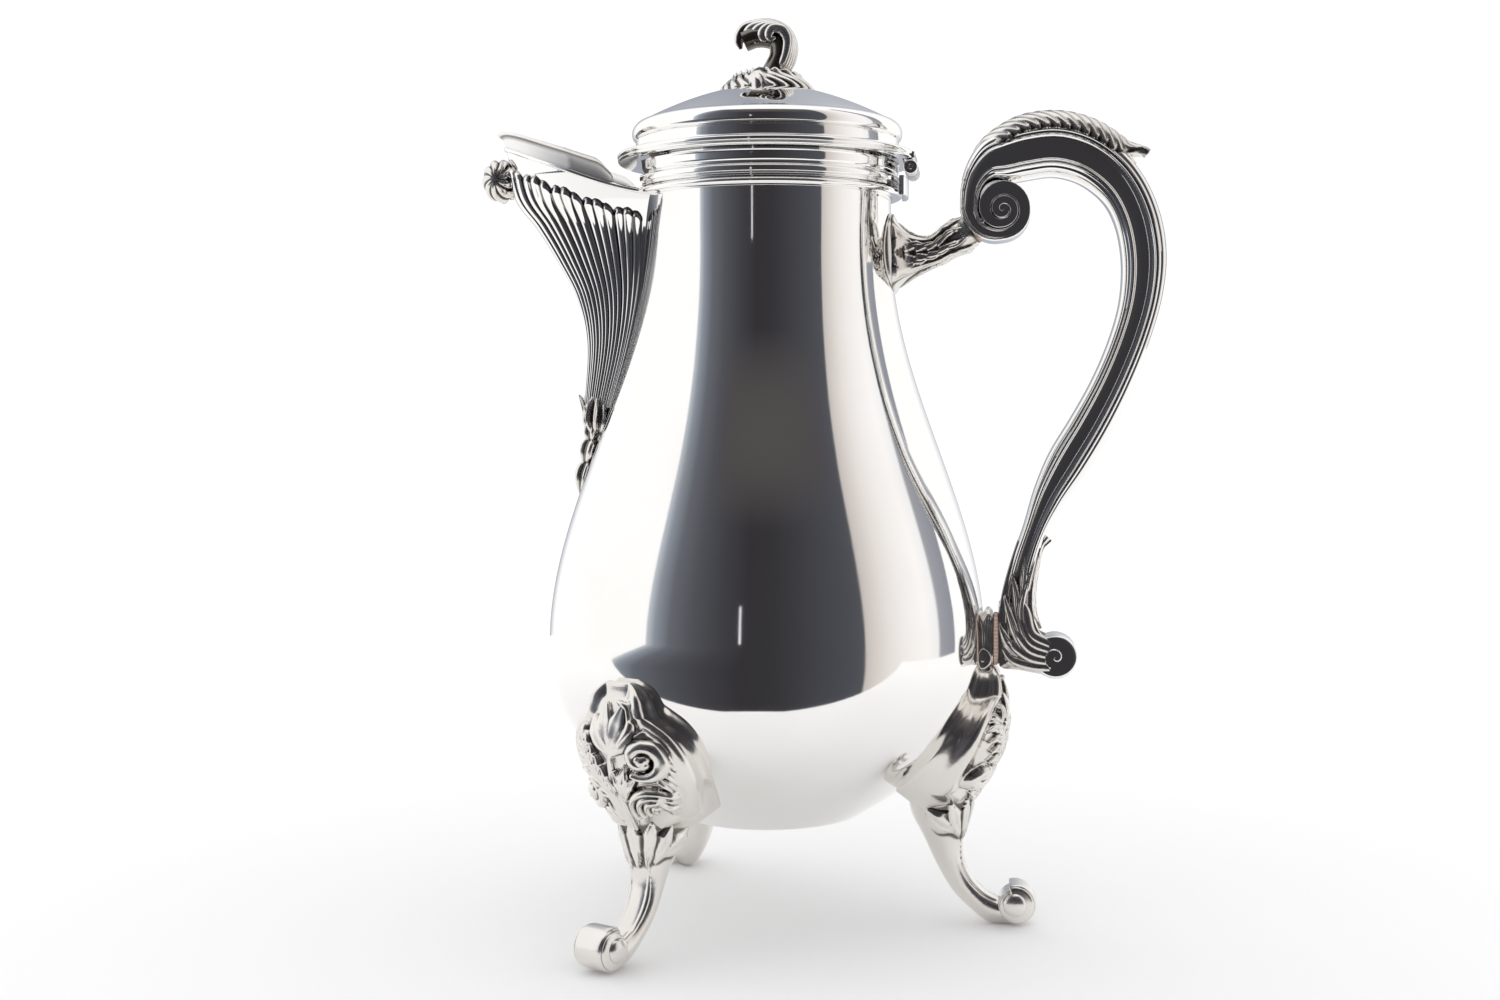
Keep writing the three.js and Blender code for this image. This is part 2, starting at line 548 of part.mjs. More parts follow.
const PLATE_HALF_WIDTH = 8.6;
const PLATE_HALF_HEIGHT = 11.4;
const PLATE_THICKNESS = 1.6;
const plateShape = solidOf(new THREE.SphereGeometry(1, 20, 12).scale(40, PLATE_HALF_WIDTH, PLATE_HALF_HEIGHT)
  .translate(NECK_RADIUS, 0, plateZ));
const sheathLow = plateZ - PLATE_HALF_HEIGHT - 1.6;
const sheathHigh = plateZ + PLATE_HALF_HEIGHT + 1.6;
const neckSheath = turned([...bodyProfile(GAP, 8, sheathLow, sheathHigh),
  ...bodyProfile(GAP + PLATE_THICKNESS, 8, sheathLow, sheathHigh).reverse(),
  [bodyRadius(sheathLow) + GAP, sheathLow]], BODY_SEGMENTS);
const rightHalf = block(60, 60, 60, NECK_RADIUS + 10, 0, plateZ);
addPiece('handle_upper_plate', geometryOf(neckSheath.intersect(plateShape).intersect(rightHalf)), castSilver);

// the arm's outline runs out from the plate; its places along the arm are shares of its length
const armRoot = bodyRadius(plateZ) + 2 * GAP + PLATE_THICKNESS;
const armLength = upperJoint[0] - armRoot;
const armAt = (share) => armRoot + share * armLength;
const armOutline = [
  ...smooth([[armAt(-0.07), plateZ + 10.2], [armAt(0.16), plateZ + 6.6], [armAt(0.41), plateZ + 4],
    [armAt(0.63), plateZ + 9.4], [upperJoint[0] - 2.5, upperJoint[1] + 3.9]], 8),
  [upperJoint[0] + 2.5, upperJoint[1] - 3.9],
  ...smooth([[upperJoint[0] - 3, upperJoint[1] - 7.2], [armAt(0.61), plateZ - 2.8],
    [armAt(0.34), plateZ - 6.4], [armAt(0.16), plateZ - 8.6], [armAt(-0.07), plateZ - 10.8]], 8),
];
const neckSheathSeat = turned([[0, plateZ - 20],
  ...bodyProfile(2 * GAP + PLATE_THICKNESS, 10, plateZ - 20, plateZ + 20), [0, plateZ + 20]], BODY_SEGMENTS);
const armBlank = plate(armOutline, SOCKET_WIDTH).subtract(neckSheathSeat);
addPiece('handle_upper_socket', geometryOf(armBlank.subtract(acrossUpper(0, 20, 20, 40))
  .subtract(tenonUpper(TENON_RADIUS + GAP, TENON_LENGTH + 2 * GAP))
  .subtract(rivetAt(RIVET_RADIUS + GAP, ...upperSocketRivet, 40))), castSilver);
addPiece('handle_upper_insulator', geometryOf(acrossUpper(GAP, INSULATOR_THICKNESS, JOINT_HALF, SOCKET_WIDTH)
  .add(tenonUpper(TENON_RADIUS, TENON_LENGTH))
  .subtract(rivetAt(RIVET_RADIUS + GAP, ...upperSocketRivet, 40))
  .subtract(rivetAt(RIVET_RADIUS + GAP, ...upperGripRivet, 40))), insulation);
addPiece('handle_upper_socket_rivet', geometryOf(rivetAt(RIVET_RADIUS, ...upperSocketRivet, SOCKET_WIDTH)),
  silver);
addPiece('handle_upper_grip_rivet', geometryOf(rivetAt(RIVET_RADIUS, ...upperGripRivet, GRIP_WIDTH)), silver);

const lowerBlank = block(10, GRIP_WIDTH, 2 * LOWER_HALF + 0.6, lowerJointX - 5, 0, lowerJointZ);
addPiece('handle_lower_socket', geometryOf(lowerBlank.subtract(bodySeat)), castSilver);
const lowerTenon = (radius, length) => solidOf(new THREE.CylinderGeometry(radius, radius, length, 16)
  .rotateZ(Math.PI / 2).translate(lowerJointX + GAP + length / 2, 0, lowerJointZ));
addPiece('handle_lower_insulator', geometryOf(block(INSULATOR_THICKNESS, GRIP_WIDTH, 2 * LOWER_HALF,
  lowerJointX + GAP + INSULATOR_THICKNESS / 2, 0, lowerJointZ)
  .add(lowerTenon(TENON_RADIUS, INSULATOR_THICKNESS + TENON_LENGTH))
  .subtract(rivetAt(RIVET_RADIUS + GAP, ...lowerGripRivet, 40))), insulation);
addPiece('handle_lower_grip_rivet', geometryOf(rivetAt(RIVET_RADIUS, ...lowerGripRivet, GRIP_WIDTH)), silver);

// ---------------------------------------------------------------- handle grip
// both edges of the C-scroll: distances are measured back from its furthest reach, and heights are those
// of a grip whose joints stand at UPPER_DRAWN and LOWER_DRAWN, stretched between them to fit the pot
const UPPER_DRAWN = 205.4;
const LOWER_DRAWN = 93;
const lowerGripZ = lowerJointZ + LOWER_HALF;
function gripHeight(z) {
  if (z >= UPPER_DRAWN) return z - UPPER_DRAWN + upperJoint[1];
  if (z <= LOWER_DRAWN) return z - LOWER_DRAWN + lowerGripZ;
  return THREE.MathUtils.mapLinear(z, LOWER_DRAWN, UPPER_DRAWN, lowerGripZ, upperJoint[1]);
}
const out = (distance) => gripReach - distance;
const fitted = (points) => points.map(([x, z]) => [x, gripHeight(z)]);
const gripOuter = smooth(fitted([[out(59.4), 209.5], [out(60), 216], [out(58.6), 223.5], [out(54), 230],
  [out(45), 235.2], [out(34), 237], [out(23), 234.8], [out(13), 228.6], [out(5.6), 218.6], [out(1.2), 207],
  [out(0), 197], [out(1), 186], [out(4), 175], [out(9.4), 160.5], [out(16.6), 144.5], [out(26), 129.8],
  [out(33.6), 118.6], [out(37.6), 107], [out(38.8), 97], [out(37.6), 90], [out(35.2), 85.5]]), 60);
// points of a circle in the handle's plane, between two angles
function arc([centreX, centreZ], radius, from, to, steps) {
  return Array.from({ length: steps + 1 }, (_, i) => {
    const angle = from + ((to - from) * i) / steps;
    return [centreX + radius * Math.cos(angle), centreZ + radius * Math.sin(angle)];
  });
}
const LOWER_SCROLL_RADIUS = 6.3;
const lowerScroll = arc([out(31.7), gripHeight(80.5)], LOWER_SCROLL_RADIUS, 1.9, -1.7, 14);
const gripStart = lowerJointX + 2 * GAP + INSULATOR_THICKNESS;
const gripInner = smooth([[out(40), gripHeight(76)], [gripStart + 3, gripHeight(76.6)],
  [gripStart, lowerJointZ - LOWER_HALF]], 4);
const gripArch = smooth(fitted([[gripStart, LOWER_DRAWN], [out(46.9), 97], [out(44.6), 108.4],
  [out(40.1), 120.3], [out(37.2), 131], [out(33), 141.6], [out(27.4), 151.8], [out(21.8), 162],
  [out(17.4), 172], [out(14.6), 182], [out(13.6), 191], [out(14), 199], [out(16), 206], [out(19.4), 212.4],
  [out(25), 217.8], [out(32), 220.4], [out(38), 219.6], [out(42.2), 217.6]]), 44);
const VOLUTE_RADIUS = 8.9;
const volute = arc([out(47.9), gripHeight(210.8)], VOLUTE_RADIUS, 0.62, -2.08, 12);
const gripBlank = plate([...gripOuter, ...lowerScroll, ...gripInner, ...gripArch, ...volute], GRIP_WIDTH);
addPiece('handle_grip', geometryOf(gripBlank
  .subtract(acrossUpper(-20, 20 + 2 * GAP + INSULATOR_THICKNESS, 20, 40))
  .subtract(tenonUpper(TENON_RADIUS + GAP, TENON_LENGTH + 2 * GAP))
  .subtract(rivetAt(RIVET_RADIUS + GAP, ...upperGripRivet, 40))
  .subtract(lowerTenon(TENON_RADIUS + GAP, INSULATOR_THICKNESS + TENON_LENGTH + GAP))
  .subtract(rivetAt(RIVET_RADIUS + GAP, ...lowerGripRivet, 40))), silver);

// a cast leaf lying along the outer edge, with a free tip beyond one end of it
function leafAlong(edge, tip, tipFirst) {
  const normals = edge.map((point, i) => {
    const before = edge[Math.max(i - 1, 0)];
    const after = edge[Math.min(i + 1, edge.length - 1)];
    const dx = after[0] - before[0];
    const dz = after[1] - before[1];
    const length = Math.hypot(dx, dz);
    return [-dz / length, dx / length];
  });
  const lay = (offset) => edge.map(([x, z], i) => [x + normals[i][0] * offset, z + normals[i][1] * offset]);
  const back = lay(GAP + LEAF_THICKNESS).reverse();
  return plate(tipFirst ? [tip, ...lay(GAP), ...back] : [...lay(GAP), tip, ...back], LEAF_WIDTH);
}
const topEdge = gripOuter.filter(([x, z]) => z > gripHeight(221) && x < out(7.5));
addPiece('thumb_leaf', geometryOf(leafAlong(topEdge, [out(1.4), gripHeight(224.6)], false)), castSilver);
const onTail = ([x, z]) => z > gripHeight(89) && z < gripHeight(108) && x < out(30);
const tailTip = [out(33.2), gripHeight(114.6)];
addPiece('handle_tail_leaf', geometryOf(leafAlong(gripOuter.filter(onTail), tailTip, true)), castSilver);

// ---------------------------------------------------------------- origin
const box = new THREE.Box3().setFromObject(pot);
pot.position.set(-(box.min.x + box.max.x) / 2, -(box.min.y + box.max.y) / 2, -box.min.z);
pot.updateMatrixWorld(true);

export default pot;
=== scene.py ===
"""Silver coffee pot: the looks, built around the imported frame.

The pot is drawn in millimetres about its own axis of revolution (handle towards +X, spout towards -X)
and put into the frame by place(), which takes the axis from the lid's CAD box.
"""
import json
import math

import bpy
import numpy as np
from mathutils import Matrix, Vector


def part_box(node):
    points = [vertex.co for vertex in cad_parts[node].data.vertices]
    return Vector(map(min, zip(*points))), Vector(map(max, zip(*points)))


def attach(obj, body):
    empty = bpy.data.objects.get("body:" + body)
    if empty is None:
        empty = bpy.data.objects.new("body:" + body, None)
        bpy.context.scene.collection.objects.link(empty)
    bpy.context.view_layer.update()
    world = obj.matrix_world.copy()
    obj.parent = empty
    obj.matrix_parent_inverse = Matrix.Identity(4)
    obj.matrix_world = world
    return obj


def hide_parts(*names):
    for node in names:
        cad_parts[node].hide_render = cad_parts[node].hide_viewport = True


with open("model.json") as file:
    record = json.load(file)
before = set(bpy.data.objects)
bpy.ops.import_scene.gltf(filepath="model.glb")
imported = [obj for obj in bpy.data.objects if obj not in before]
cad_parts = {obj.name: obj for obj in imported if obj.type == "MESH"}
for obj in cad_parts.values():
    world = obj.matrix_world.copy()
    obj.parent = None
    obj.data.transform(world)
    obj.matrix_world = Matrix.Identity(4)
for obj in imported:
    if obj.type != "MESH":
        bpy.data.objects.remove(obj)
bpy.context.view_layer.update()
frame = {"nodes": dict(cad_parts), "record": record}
MM = 0.001
TAU = 2 * math.pi

# ------------------------------------------------------------------ sizes, from the frame
dome_low, dome_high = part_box("lid_dome")
AXIS_X = (dome_low.x + dome_high.x) / 2 / MM


def low_high(node, axis):
    """A CAD node's lowest and highest coordinate along one axis, in mm from the pot's axis."""
    low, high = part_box(node)
    shift = AXIS_X if axis == 0 else 0
    return low[axis] / MM - shift, high[axis] / MM - shift


BOTTOM_Z = low_high("body_lower_shell", 2)[0]
RIM_Z = low_high("body_upper_shell", 2)[1]
NECK_Z = RIM_Z - 21
BELLY_RADIUS = 65
BELLY_Z = 84
BASE_RADIUS = 26
NECK_RADIUS = 36.8
BOWL_POWER = 2.4
SHOULDER_POWER = 0.955
WALL = 1.2
FLANGE_BASE, FLANGE_TOP = low_high("lid_flange", 2)
FLANGE_RADIUS = low_high("lid_flange", 1)[1]
DOME_BASE, DOME_TOP = low_high("lid_dome", 2)
DOME_RADIUS = low_high("lid_dome", 1)[1]
CROWN_RADIUS = DOME_RADIUS - 3.3  # where the dome leaves its rolled edge
CROWN_BASE = DOME_BASE + 5.5
BEZEL_RADIUS = low_high("lid_bezel", 1)[1]
RIVET_RADIUS = 0.8
PIN = [sum(low_high("hinge_pin", axis)) / 2 for axis in range(3)]
KNUCKLE_RADIUS = (low_high("hinge_body_knuckle_3", 2)[1] - low_high("hinge_body_knuckle_3", 2)[0]) / 2
HINGE_HALF = low_high("hinge_body_knuckle_5", 1)[1]


# ------------------------------------------------------------------ camera and stage
CAMERA_DISTANCE = 562
CAMERA_HEIGHT = 150
CAMERA_SWING = math.radians(7)  # towards the handle from straight across
LENS = 45
SENSOR = 36
PITCH = math.radians(2.47)
YAW = math.radians(0.52)


def place(x, y, z):
    """A point in mm about the pot's axis, in the frame, in metres."""
    return Vector(((x + AXIS_X) * MM, y * MM, z * MM))


def make_camera():
    data = bpy.data.cameras.new("camera")
    data.lens = LENS
    data.sensor_width = SENSOR
    data.sensor_fit = "HORIZONTAL"
    data.clip_start = 0.01
    camera = bpy.data.objects.new("camera", data)
    camera.location = place(
        CAMERA_DISTANCE * math.sin(CAMERA_SWING),
        -CAMERA_DISTANCE * math.cos(CAMERA_SWING),
        CAMERA_HEIGHT,
    )
    camera.rotation_euler = (math.pi / 2 - PITCH, 0, CAMERA_SWING + YAW)
    bpy.context.scene.collection.objects.link(camera)
    bpy.context.scene.camera = camera


make_camera()


# ------------------------------------------------------------------ materials
def new_material(name):
    material = bpy.data.materials.new(name)
    material.use_nodes = True
    nodes = material.node_tree.nodes
    return material, nodes, material.node_tree.links, nodes["Principled BSDF"]


def add_node(nodes, kind, inputs=None, **settings):
    """A shader node with its settings and the values of its inputs."""
    node = nodes.new(kind)
    for key, value in settings.items():
        setattr(node, key, value)
    for key, value in (inputs or {}).items():
        node.inputs[key].default_value = value
    return node


def colour_ramp(nodes, stops):
    ramp = nodes.new("ShaderNodeValToRGB")
    ramp.color_ramp.elements.remove(ramp.color_ramp.elements[0])
    for i, (position, colour) in enumerate(stops):
        stop = ramp.color_ramp.elements[0] if i == 0 else ramp.color_ramp.elements.new(position)
        stop.position = position
        stop.color = (*colour, 1)
    return ramp


def noise(nodes, links, where, scale, detail):
    texture = add_node(nodes, "ShaderNodeTexNoise", {"Scale": scale, "Detail": detail})
    links.new(where, texture.inputs["Vector"])
    return texture.outputs["Fac"]


def bump(nodes, links, height, strength, distance):
    node = add_node(nodes, "ShaderNodeBump", {"Strength": strength, "Distance": distance})
    links.new(height, node.inputs["Height"])
    return node


def silver_material(name, bright, dark, roughness, worn, relief_dark):
    """Silver: slow tarnish clouds, fine wiping scratches, and darkening where the per-point attribute is low,
    which paints oxide in the hollows together with painted shade.
    """
    material, nodes, links, shader = new_material(name)
    shader.inputs["Metallic"].default_value = 1
    where = nodes.new("ShaderNodeTexCoord").outputs["Object"]
    tint = colour_ramp(nodes, [(0.35, dark), (0.62, bright)])
    links.new(noise(nodes, links, where, 22, 5), tint.inputs["Fac"])
    relief = add_node(nodes, "ShaderNodeAttribute", attribute_name="relief")
    # darkening from the per-point attribute: oxide in the hollows and painted shade, near black at the lowest
    oxide_and_shade_ramp = colour_ramp(nodes, [(0.0, (relief_dark,) * 3), (0.22, (0.32, 0.30, 0.28)), (0.6, (1, 1, 1))])
    links.new(relief.outputs["Fac"], oxide_and_shade_ramp.inputs["Fac"])
    mixed = add_node(nodes, "ShaderNodeMix", {"Factor": 1}, data_type="RGBA", blend_type="MULTIPLY")
    links.new(tint.outputs["Color"], mixed.inputs[6])
    links.new(oxide_and_shade_ramp.outputs["Color"], mixed.inputs[7])
    links.new(mixed.outputs[2], shader.inputs["Base Color"])
    rough = add_node(nodes, "ShaderNodeMapRange", {"To Min": roughness, "To Max": roughness + worn})
    links.new(noise(nodes, links, where, 160, 6), rough.inputs["Value"])
    links.new(rough.outputs["Result"], shader.inputs["Roughness"])
    return material, nodes, links, shader, where


def polished_silver(name="polished_silver", roughness=0.035):
    material, nodes, links, shader, where = silver_material(
        name, (0.95, 0.94, 0.925), (0.915, 0.90, 0.875), roughness, 0.05, 0.04)
    stretch = add_node(nodes, "ShaderNodeMapping", {"Scale": (900, 900, 60), "Rotation": (0.5, 0.4, 0)})
    links.new(where, stretch.inputs["Vector"])
    scratches = bump(nodes, links, noise(nodes, links, stretch.outputs["Vector"], 1, 3), 0.006, 0.0002)
    planishing = bump(nodes, links, noise(nodes, links, where, 55, 1), 0.05, 0.0003)
    links.new(scratches.outputs["Normal"], planishing.inputs["Normal"])
    links.new(planishing.outputs["Normal"], shader.inputs["Normal"])
    return material


def cast_silver():
    material, nodes, links, shader, where = silver_material(
        "cast_silver", (0.86, 0.835, 0.80), (0.74, 0.71, 0.67), 0.13, 0.16, 0.045)
    grain = bump(nodes, links, noise(nodes, links, where, 900, 4), 0.12, 0.0002)
    links.new(grain.outputs["Normal"], shader.inputs["Normal"])
    return material


def insulator():
    """Satin bone-coloured material with faint turned rings."""
    material, nodes, links, shader = new_material("insulator")
    for key, value in {"Roughness": 0.42, "Subsurface Weight": 0.1, "Subsurface Scale": 0.002}.items():
        shader.inputs[key].default_value = value
    where = nodes.new("ShaderNodeTexCoord")
    rings = add_node(nodes, "ShaderNodeTexWave", {"Scale": 300, "Distortion": 3, "Detail": 3},
                     bands_direction="Z")
    links.new(where.outputs["Object"], rings.inputs["Vector"])
    tint = colour_ramp(nodes, [(0.0, (0.36, 0.25, 0.205)), (1.0, (0.54, 0.41, 0.345))])
    links.new(rings.outputs["Fac"], tint.inputs["Fac"])
    links.new(tint.outputs["Color"], shader.inputs["Base Color"])
    return material


POLISHED = polished_silver()
SATIN = polished_silver("satin_silver", 0.4)
CAST = cast_silver()
INSULATOR = insulator()
SLOTS = {"polished_silver": POLISHED, "cast_silver": CAST, "insulator": INSULATOR}


# ------------------------------------------------------------------ mesh helpers
def add_piece(name, points, faces, body, slot, nodes=(), relief=None, sharp=35):
    """A mesh from points in mm about the pot's axis; it rides on a body and stands for CAD nodes."""
    points = np.asarray(points, float).reshape(-1, 3)
    mesh = bpy.data.meshes.new(name)
    metres = (points + np.array([AXIS_X, 0, 0])) * MM
    mesh.from_pydata(metres.tolist(), [], [tuple(face) for face in faces])
    mesh.validate()
    shade = np.ones(len(points)) if relief is None else np.asarray(relief, float).ravel()
    # per-point attribute read by the silver materials: oxide in hollows together with painted shade and
    # painted highlights
    layer = mesh.attributes.new("relief", "FLOAT", "POINT")
    layer.data.foreach_set("value", shade.astype(np.float32))
    mesh.shade_smooth()
    if sharp:
        mesh.set_sharp_from_angle(angle=math.radians(sharp))
    mesh.materials.append(SLOTS[slot])
    piece = bpy.data.objects.new(name, mesh)
    bpy.context.scene.collection.objects.link(piece)
    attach(piece, body)
    if nodes:
        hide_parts(*nodes)
    return piece


def add_tube(name, points, *rest, **settings):
    """A piece from a grid of points that closes round its columns, with both ends closed."""
    return add_piece(name, points, capped(points), *rest, **settings)


def grid_faces(rows, columns, wrap_rows=False, wrap_columns=False, start=0):
    """Quads of a grid of points stored row by row."""
    row = np.arange(rows if wrap_rows else rows - 1)
    column = np.arange(columns if wrap_columns else columns - 1)
    r, c = crossed(row, column)
    r2, c2 = (r + 1) % rows, (c + 1) % columns
    quads = np.stack([r * columns + c, r * columns + c2, r2 * columns + c2, r2 * columns + c], -1)
    return (quads.reshape(-1, 4) + start).tolist()


def circle(count):
    """Angles evenly spread round a full turn."""
    return np.linspace(0, TAU, count, endpoint=False)


def crossed(rows, columns):
    """The two coordinates of a grid: the first changes along the rows, the second along the columns."""
    return np.meshgrid(rows, columns, indexing="ij")


def arc_length(line):
    """Distance along a polyline at each of its points."""
    return np.concatenate([[0], np.cumsum(np.linalg.norm(np.diff(line, axis=0), axis=1))])


def left_of(line):
    """Unit directions square to a flat line, on its left."""
    tangent = np.gradient(line, axis=0)
    tangent /= np.linalg.norm(tangent, axis=1)[:, None]
    return np.stack([-tangent[:, 1], tangent[:, 0]], -1)


def units(vectors):
    return vectors / np.maximum(np.linalg.norm(vectors, axis=-1, keepdims=True), 1e-6)


def read_off(line, at):
    """The second coordinate of a flat line where its first is at."""
    return np.interp(at, line[:, 0], line[:, 1])


def resample(points, count, closed=False):
    """Points evenly spread along a polyline."""
    points = np.asarray(points, float)
    if closed:
        points = np.vstack([points, points[:1]])
    length = arc_length(points)
    at = np.linspace(0, length[-1], count + 1 if closed else count)
    if closed:
        at = at[:-1]
    return np.stack([np.interp(at, length, points[:, k]) for k in range(points.shape[1])], -1)


def spline(points, count):
    """A smooth curve through the points (centripetal Catmull-Rom), evenly resampled."""
    p = np.asarray(points, float)
    p = np.vstack([2 * p[0] - p[1], p, 2 * p[-1] - p[-2]])
    pieces = []
    for a, b, c, d in zip(p[:-3], p[1:-2], p[2:-1], p[3:]):
        t0 = 0
        t1 = t0 + np.linalg.norm(b - a) ** 0.5
        t2 = t1 + np.linalg.norm(c - b) ** 0.5
        t3 = t2 + np.linalg.norm(d - c) ** 0.5
        t = np.linspace(t1, t2, 24, endpoint=False)[:, None]
        a1 = (t1 - t) / (t1 - t0) * a + (t - t0) / (t1 - t0) * b
        a2 = (t2 - t) / (t2 - t1) * b + (t - t1) / (t2 - t1) * c
        a3 = (t3 - t) / (t3 - t2) * c + (t - t2) / (t3 - t2) * d
        b1 = (t2 - t) / (t2 - t0) * a1 + (t - t0) / (t2 - t0) * a2
        b2 = (t3 - t) / (t3 - t1) * a2 + (t - t1) / (t3 - t1) * a3
        pieces.append((t2 - t) / (t2 - t1) * b1 + (t - t1) / (t2 - t1) * b2)
    pieces.append(p[-2][None])
    return resample(np.vstack(pieces), count)


def smoothstep(value, low, high):
    t = np.clip((np.asarray(value, float) - low) / (high - low), 0, 1)
    return t * t * (3 - 2 * t)


def turned(profile, columns, start=0.0, end=TAU):
    """A closed profile of (radius, z) swept about the axis from one angle to another."""
    whole = end - start >= TAU - 1e-6
    angles = np.linspace(start, end, columns, endpoint=not whole)
    profile = np.asarray(profile, float)
    radius, height = profile[:, 0], profile[:, 1]
    x = np.cos(angles)[:, None] * radius[None]
    y = np.sin(angles)[:, None] * radius[None]
    z = np.broadcast_to(height, x.shape)
    points = np.stack([x, y, z], -1)
    faces = grid_faces(len(angles), len(profile), wrap_rows=whole, wrap_columns=True)
    if not whole:
        last = (len(angles) - 1) * len(profile)
        faces.append(list(range(len(profile)))[::-1])
        faces.append([last + i for i in range(len(profile))])
    return points, faces


def rounded(profile, radius, steps=3):
    """A closed polygon of (radius, z) with its corners eased."""
    profile = np.asarray(profile, float)
    out = []
    for before, corner, after in zip(np.roll(profile, 1, 0), profile, np.roll(profile, -1, 0)):
        reach_a = min(radius, np.linalg.norm(before - corner) * 0.45)
        reach_b = min(radius, np.linalg.norm(after - corner) * 0.45)
        a = corner + (before - corner) / np.linalg.norm(before - corner) * reach_a
        b = corner + (after - corner) / np.linalg.norm(after - corner) * reach_b
        for t in np.linspace(0, 1, steps + 1):
            out.append((1 - t) ** 2 * a + 2 * t * (1 - t) * corner + t ** 2 * b)
    return np.array(out)


# ------------------------------------------------------------------ body
def body_radius(z):
    z = np.asarray(z, float)
    t = np.clip((z - BOTTOM_Z) / (BELLY_Z - BOTTOM_Z), 0, 1)
    bowl = BASE_RADIUS + (BELLY_RADIUS - BASE_RADIUS) * (1 - (1 - t) ** BOWL_POWER)
    u = np.clip((z - BELLY_Z) / (NECK_Z - BELLY_Z), 0, 1) ** SHOULDER_POWER
    neck = NECK_RADIUS + (BELLY_RADIUS - NECK_RADIUS) * 0.5 * (1 + np.cos(np.pi * u))
    return np.where(z <= BELLY_Z, bowl, neck)


SPOUT_FOOT_Z = low_high("spout_trough", 2)[0]
SPOUT_TIP_Z = low_high("spout_trough", 2)[1]
SPOUT_RIM_RISE = 15.4
SPOUT_RIM_Z = SPOUT_TIP_Z - SPOUT_RIM_RISE
SPOUT_HALF_WIDTH = 18.5
SPOUT_REACH = -low_high("spout_trough", 0)[0]


def spout_width(z):
    t = np.clip((np.asarray(z, float) - SPOUT_FOOT_Z) / (SPOUT_RIM_Z - SPOUT_FOOT_Z), 0, 1.1)
    return SPOUT_HALF_WIDTH * (0.25 + 0.37 * t + 0.38 * t ** 5)


def make_body():
    heights = np.linspace(BOTTOM_Z, RIM_Z, 900)
    wall = np.stack([body_radius(heights), heights], -1)
    base = np.array([[0, BOTTOM_Z + 1.2], [BASE_RADIUS * 0.5, BOTTOM_Z + 0.9],
                     [BASE_RADIUS - 1.6, BOTTOM_Z + 0.1]])
    outline = np.vstack([spline(base, 20), wall[6:]])
    profile = resample(outline, 260)
    columns = 300
    radius, height = profile[:, 0], profile[:, 1]
    opening = (spout_width(height) - WALL) * smoothstep(height, SPOUT_FOOT_Z + 6, SPOUT_FOOT_Z + 12)
    cut = np.arcsin(np.clip(opening / np.maximum(radius, 1), 0, 0.9))
    share = np.linspace(0, 1, columns)
    angle = math.pi + cut[:, None] + share[None] * (TAU - 2 * cut[:, None])
    points = np.stack([radius[:, None] * np.cos(angle), radius[:, None] * np.sin(angle),
                       np.broadcast_to(height[:, None], angle.shape)], -1)
    faces = grid_faces(len(profile), columns)
    piece = add_piece("body_shell_skin", points, faces, "pot", "polished_silver",
                      ["body_lower_shell", "body_upper_shell"], sharp=0)
    weld = piece.modifiers.new("weld", "WELD")
    weld.merge_threshold = 0.00002
    thick = piece.modifiers.new("wall", "SOLIDIFY")
    thick.thickness = WALL * MM
    thick.offset = -1
    thick.use_quality_normals = True
    return piece


COLLAR_CUT = math.asin((SPOUT_HALF_WIDTH + 0.9) / (NECK_RADIUS + 3.5))


def make_collar():
    seat = NECK_RADIUS + 0.02
    top = RIM_Z
    band = rounded([
        (seat, top), (NECK_RADIUS + 2.7, top), (NECK_RADIUS + 2.4, top - 0.5), (NECK_RADIUS + 2.2, top - 2.7),
        (NECK_RADIUS + 1.5, top - 3.7), (NECK_RADIUS + 1.6, top - 4.1), (NECK_RADIUS + 2.75, top - 4.3),
        (NECK_RADIUS + 3.0, top - 4.8), (NECK_RADIUS + 3.0, top - 6.1), (NECK_RADIUS + 2.3, top - 6.5),
        (NECK_RADIUS + 2.2, top - 6.9), (NECK_RADIUS + 2.8, top - 7.4), (seat, top - 7.4)], 0.35, 4)
    points, faces = turned(band, 220, -math.pi + COLLAR_CUT, math.pi - COLLAR_CUT)
    add_piece("neck_collar_moulding", points, faces, "pot", "polished_silver", ["neck_collar"])
    wire = rounded([
        (seat, top - 7.8), (NECK_RADIUS + 3.0, top - 7.8), (NECK_RADIUS + 3.6, top - 8.3),
        (NECK_RADIUS + 3.7, top - 9.0), (NECK_RADIUS + 3.0, top - 9.7), (seat, top - 9.8)], 0.5, 5)
    points, faces = turned(wire, 220, -math.pi + COLLAR_CUT, math.pi - COLLAR_CUT)
    add_piece("neck_wire_ring", points, faces, "pot", "polished_silver", ["neck_wire"])


# ------------------------------------------------------------------ lid
def crown_height(share):
    """Height of the dome at a share of the crown's radius."""
    return CROWN_BASE + (DOME_TOP - CROWN_BASE) * (1 - share ** 1.75)


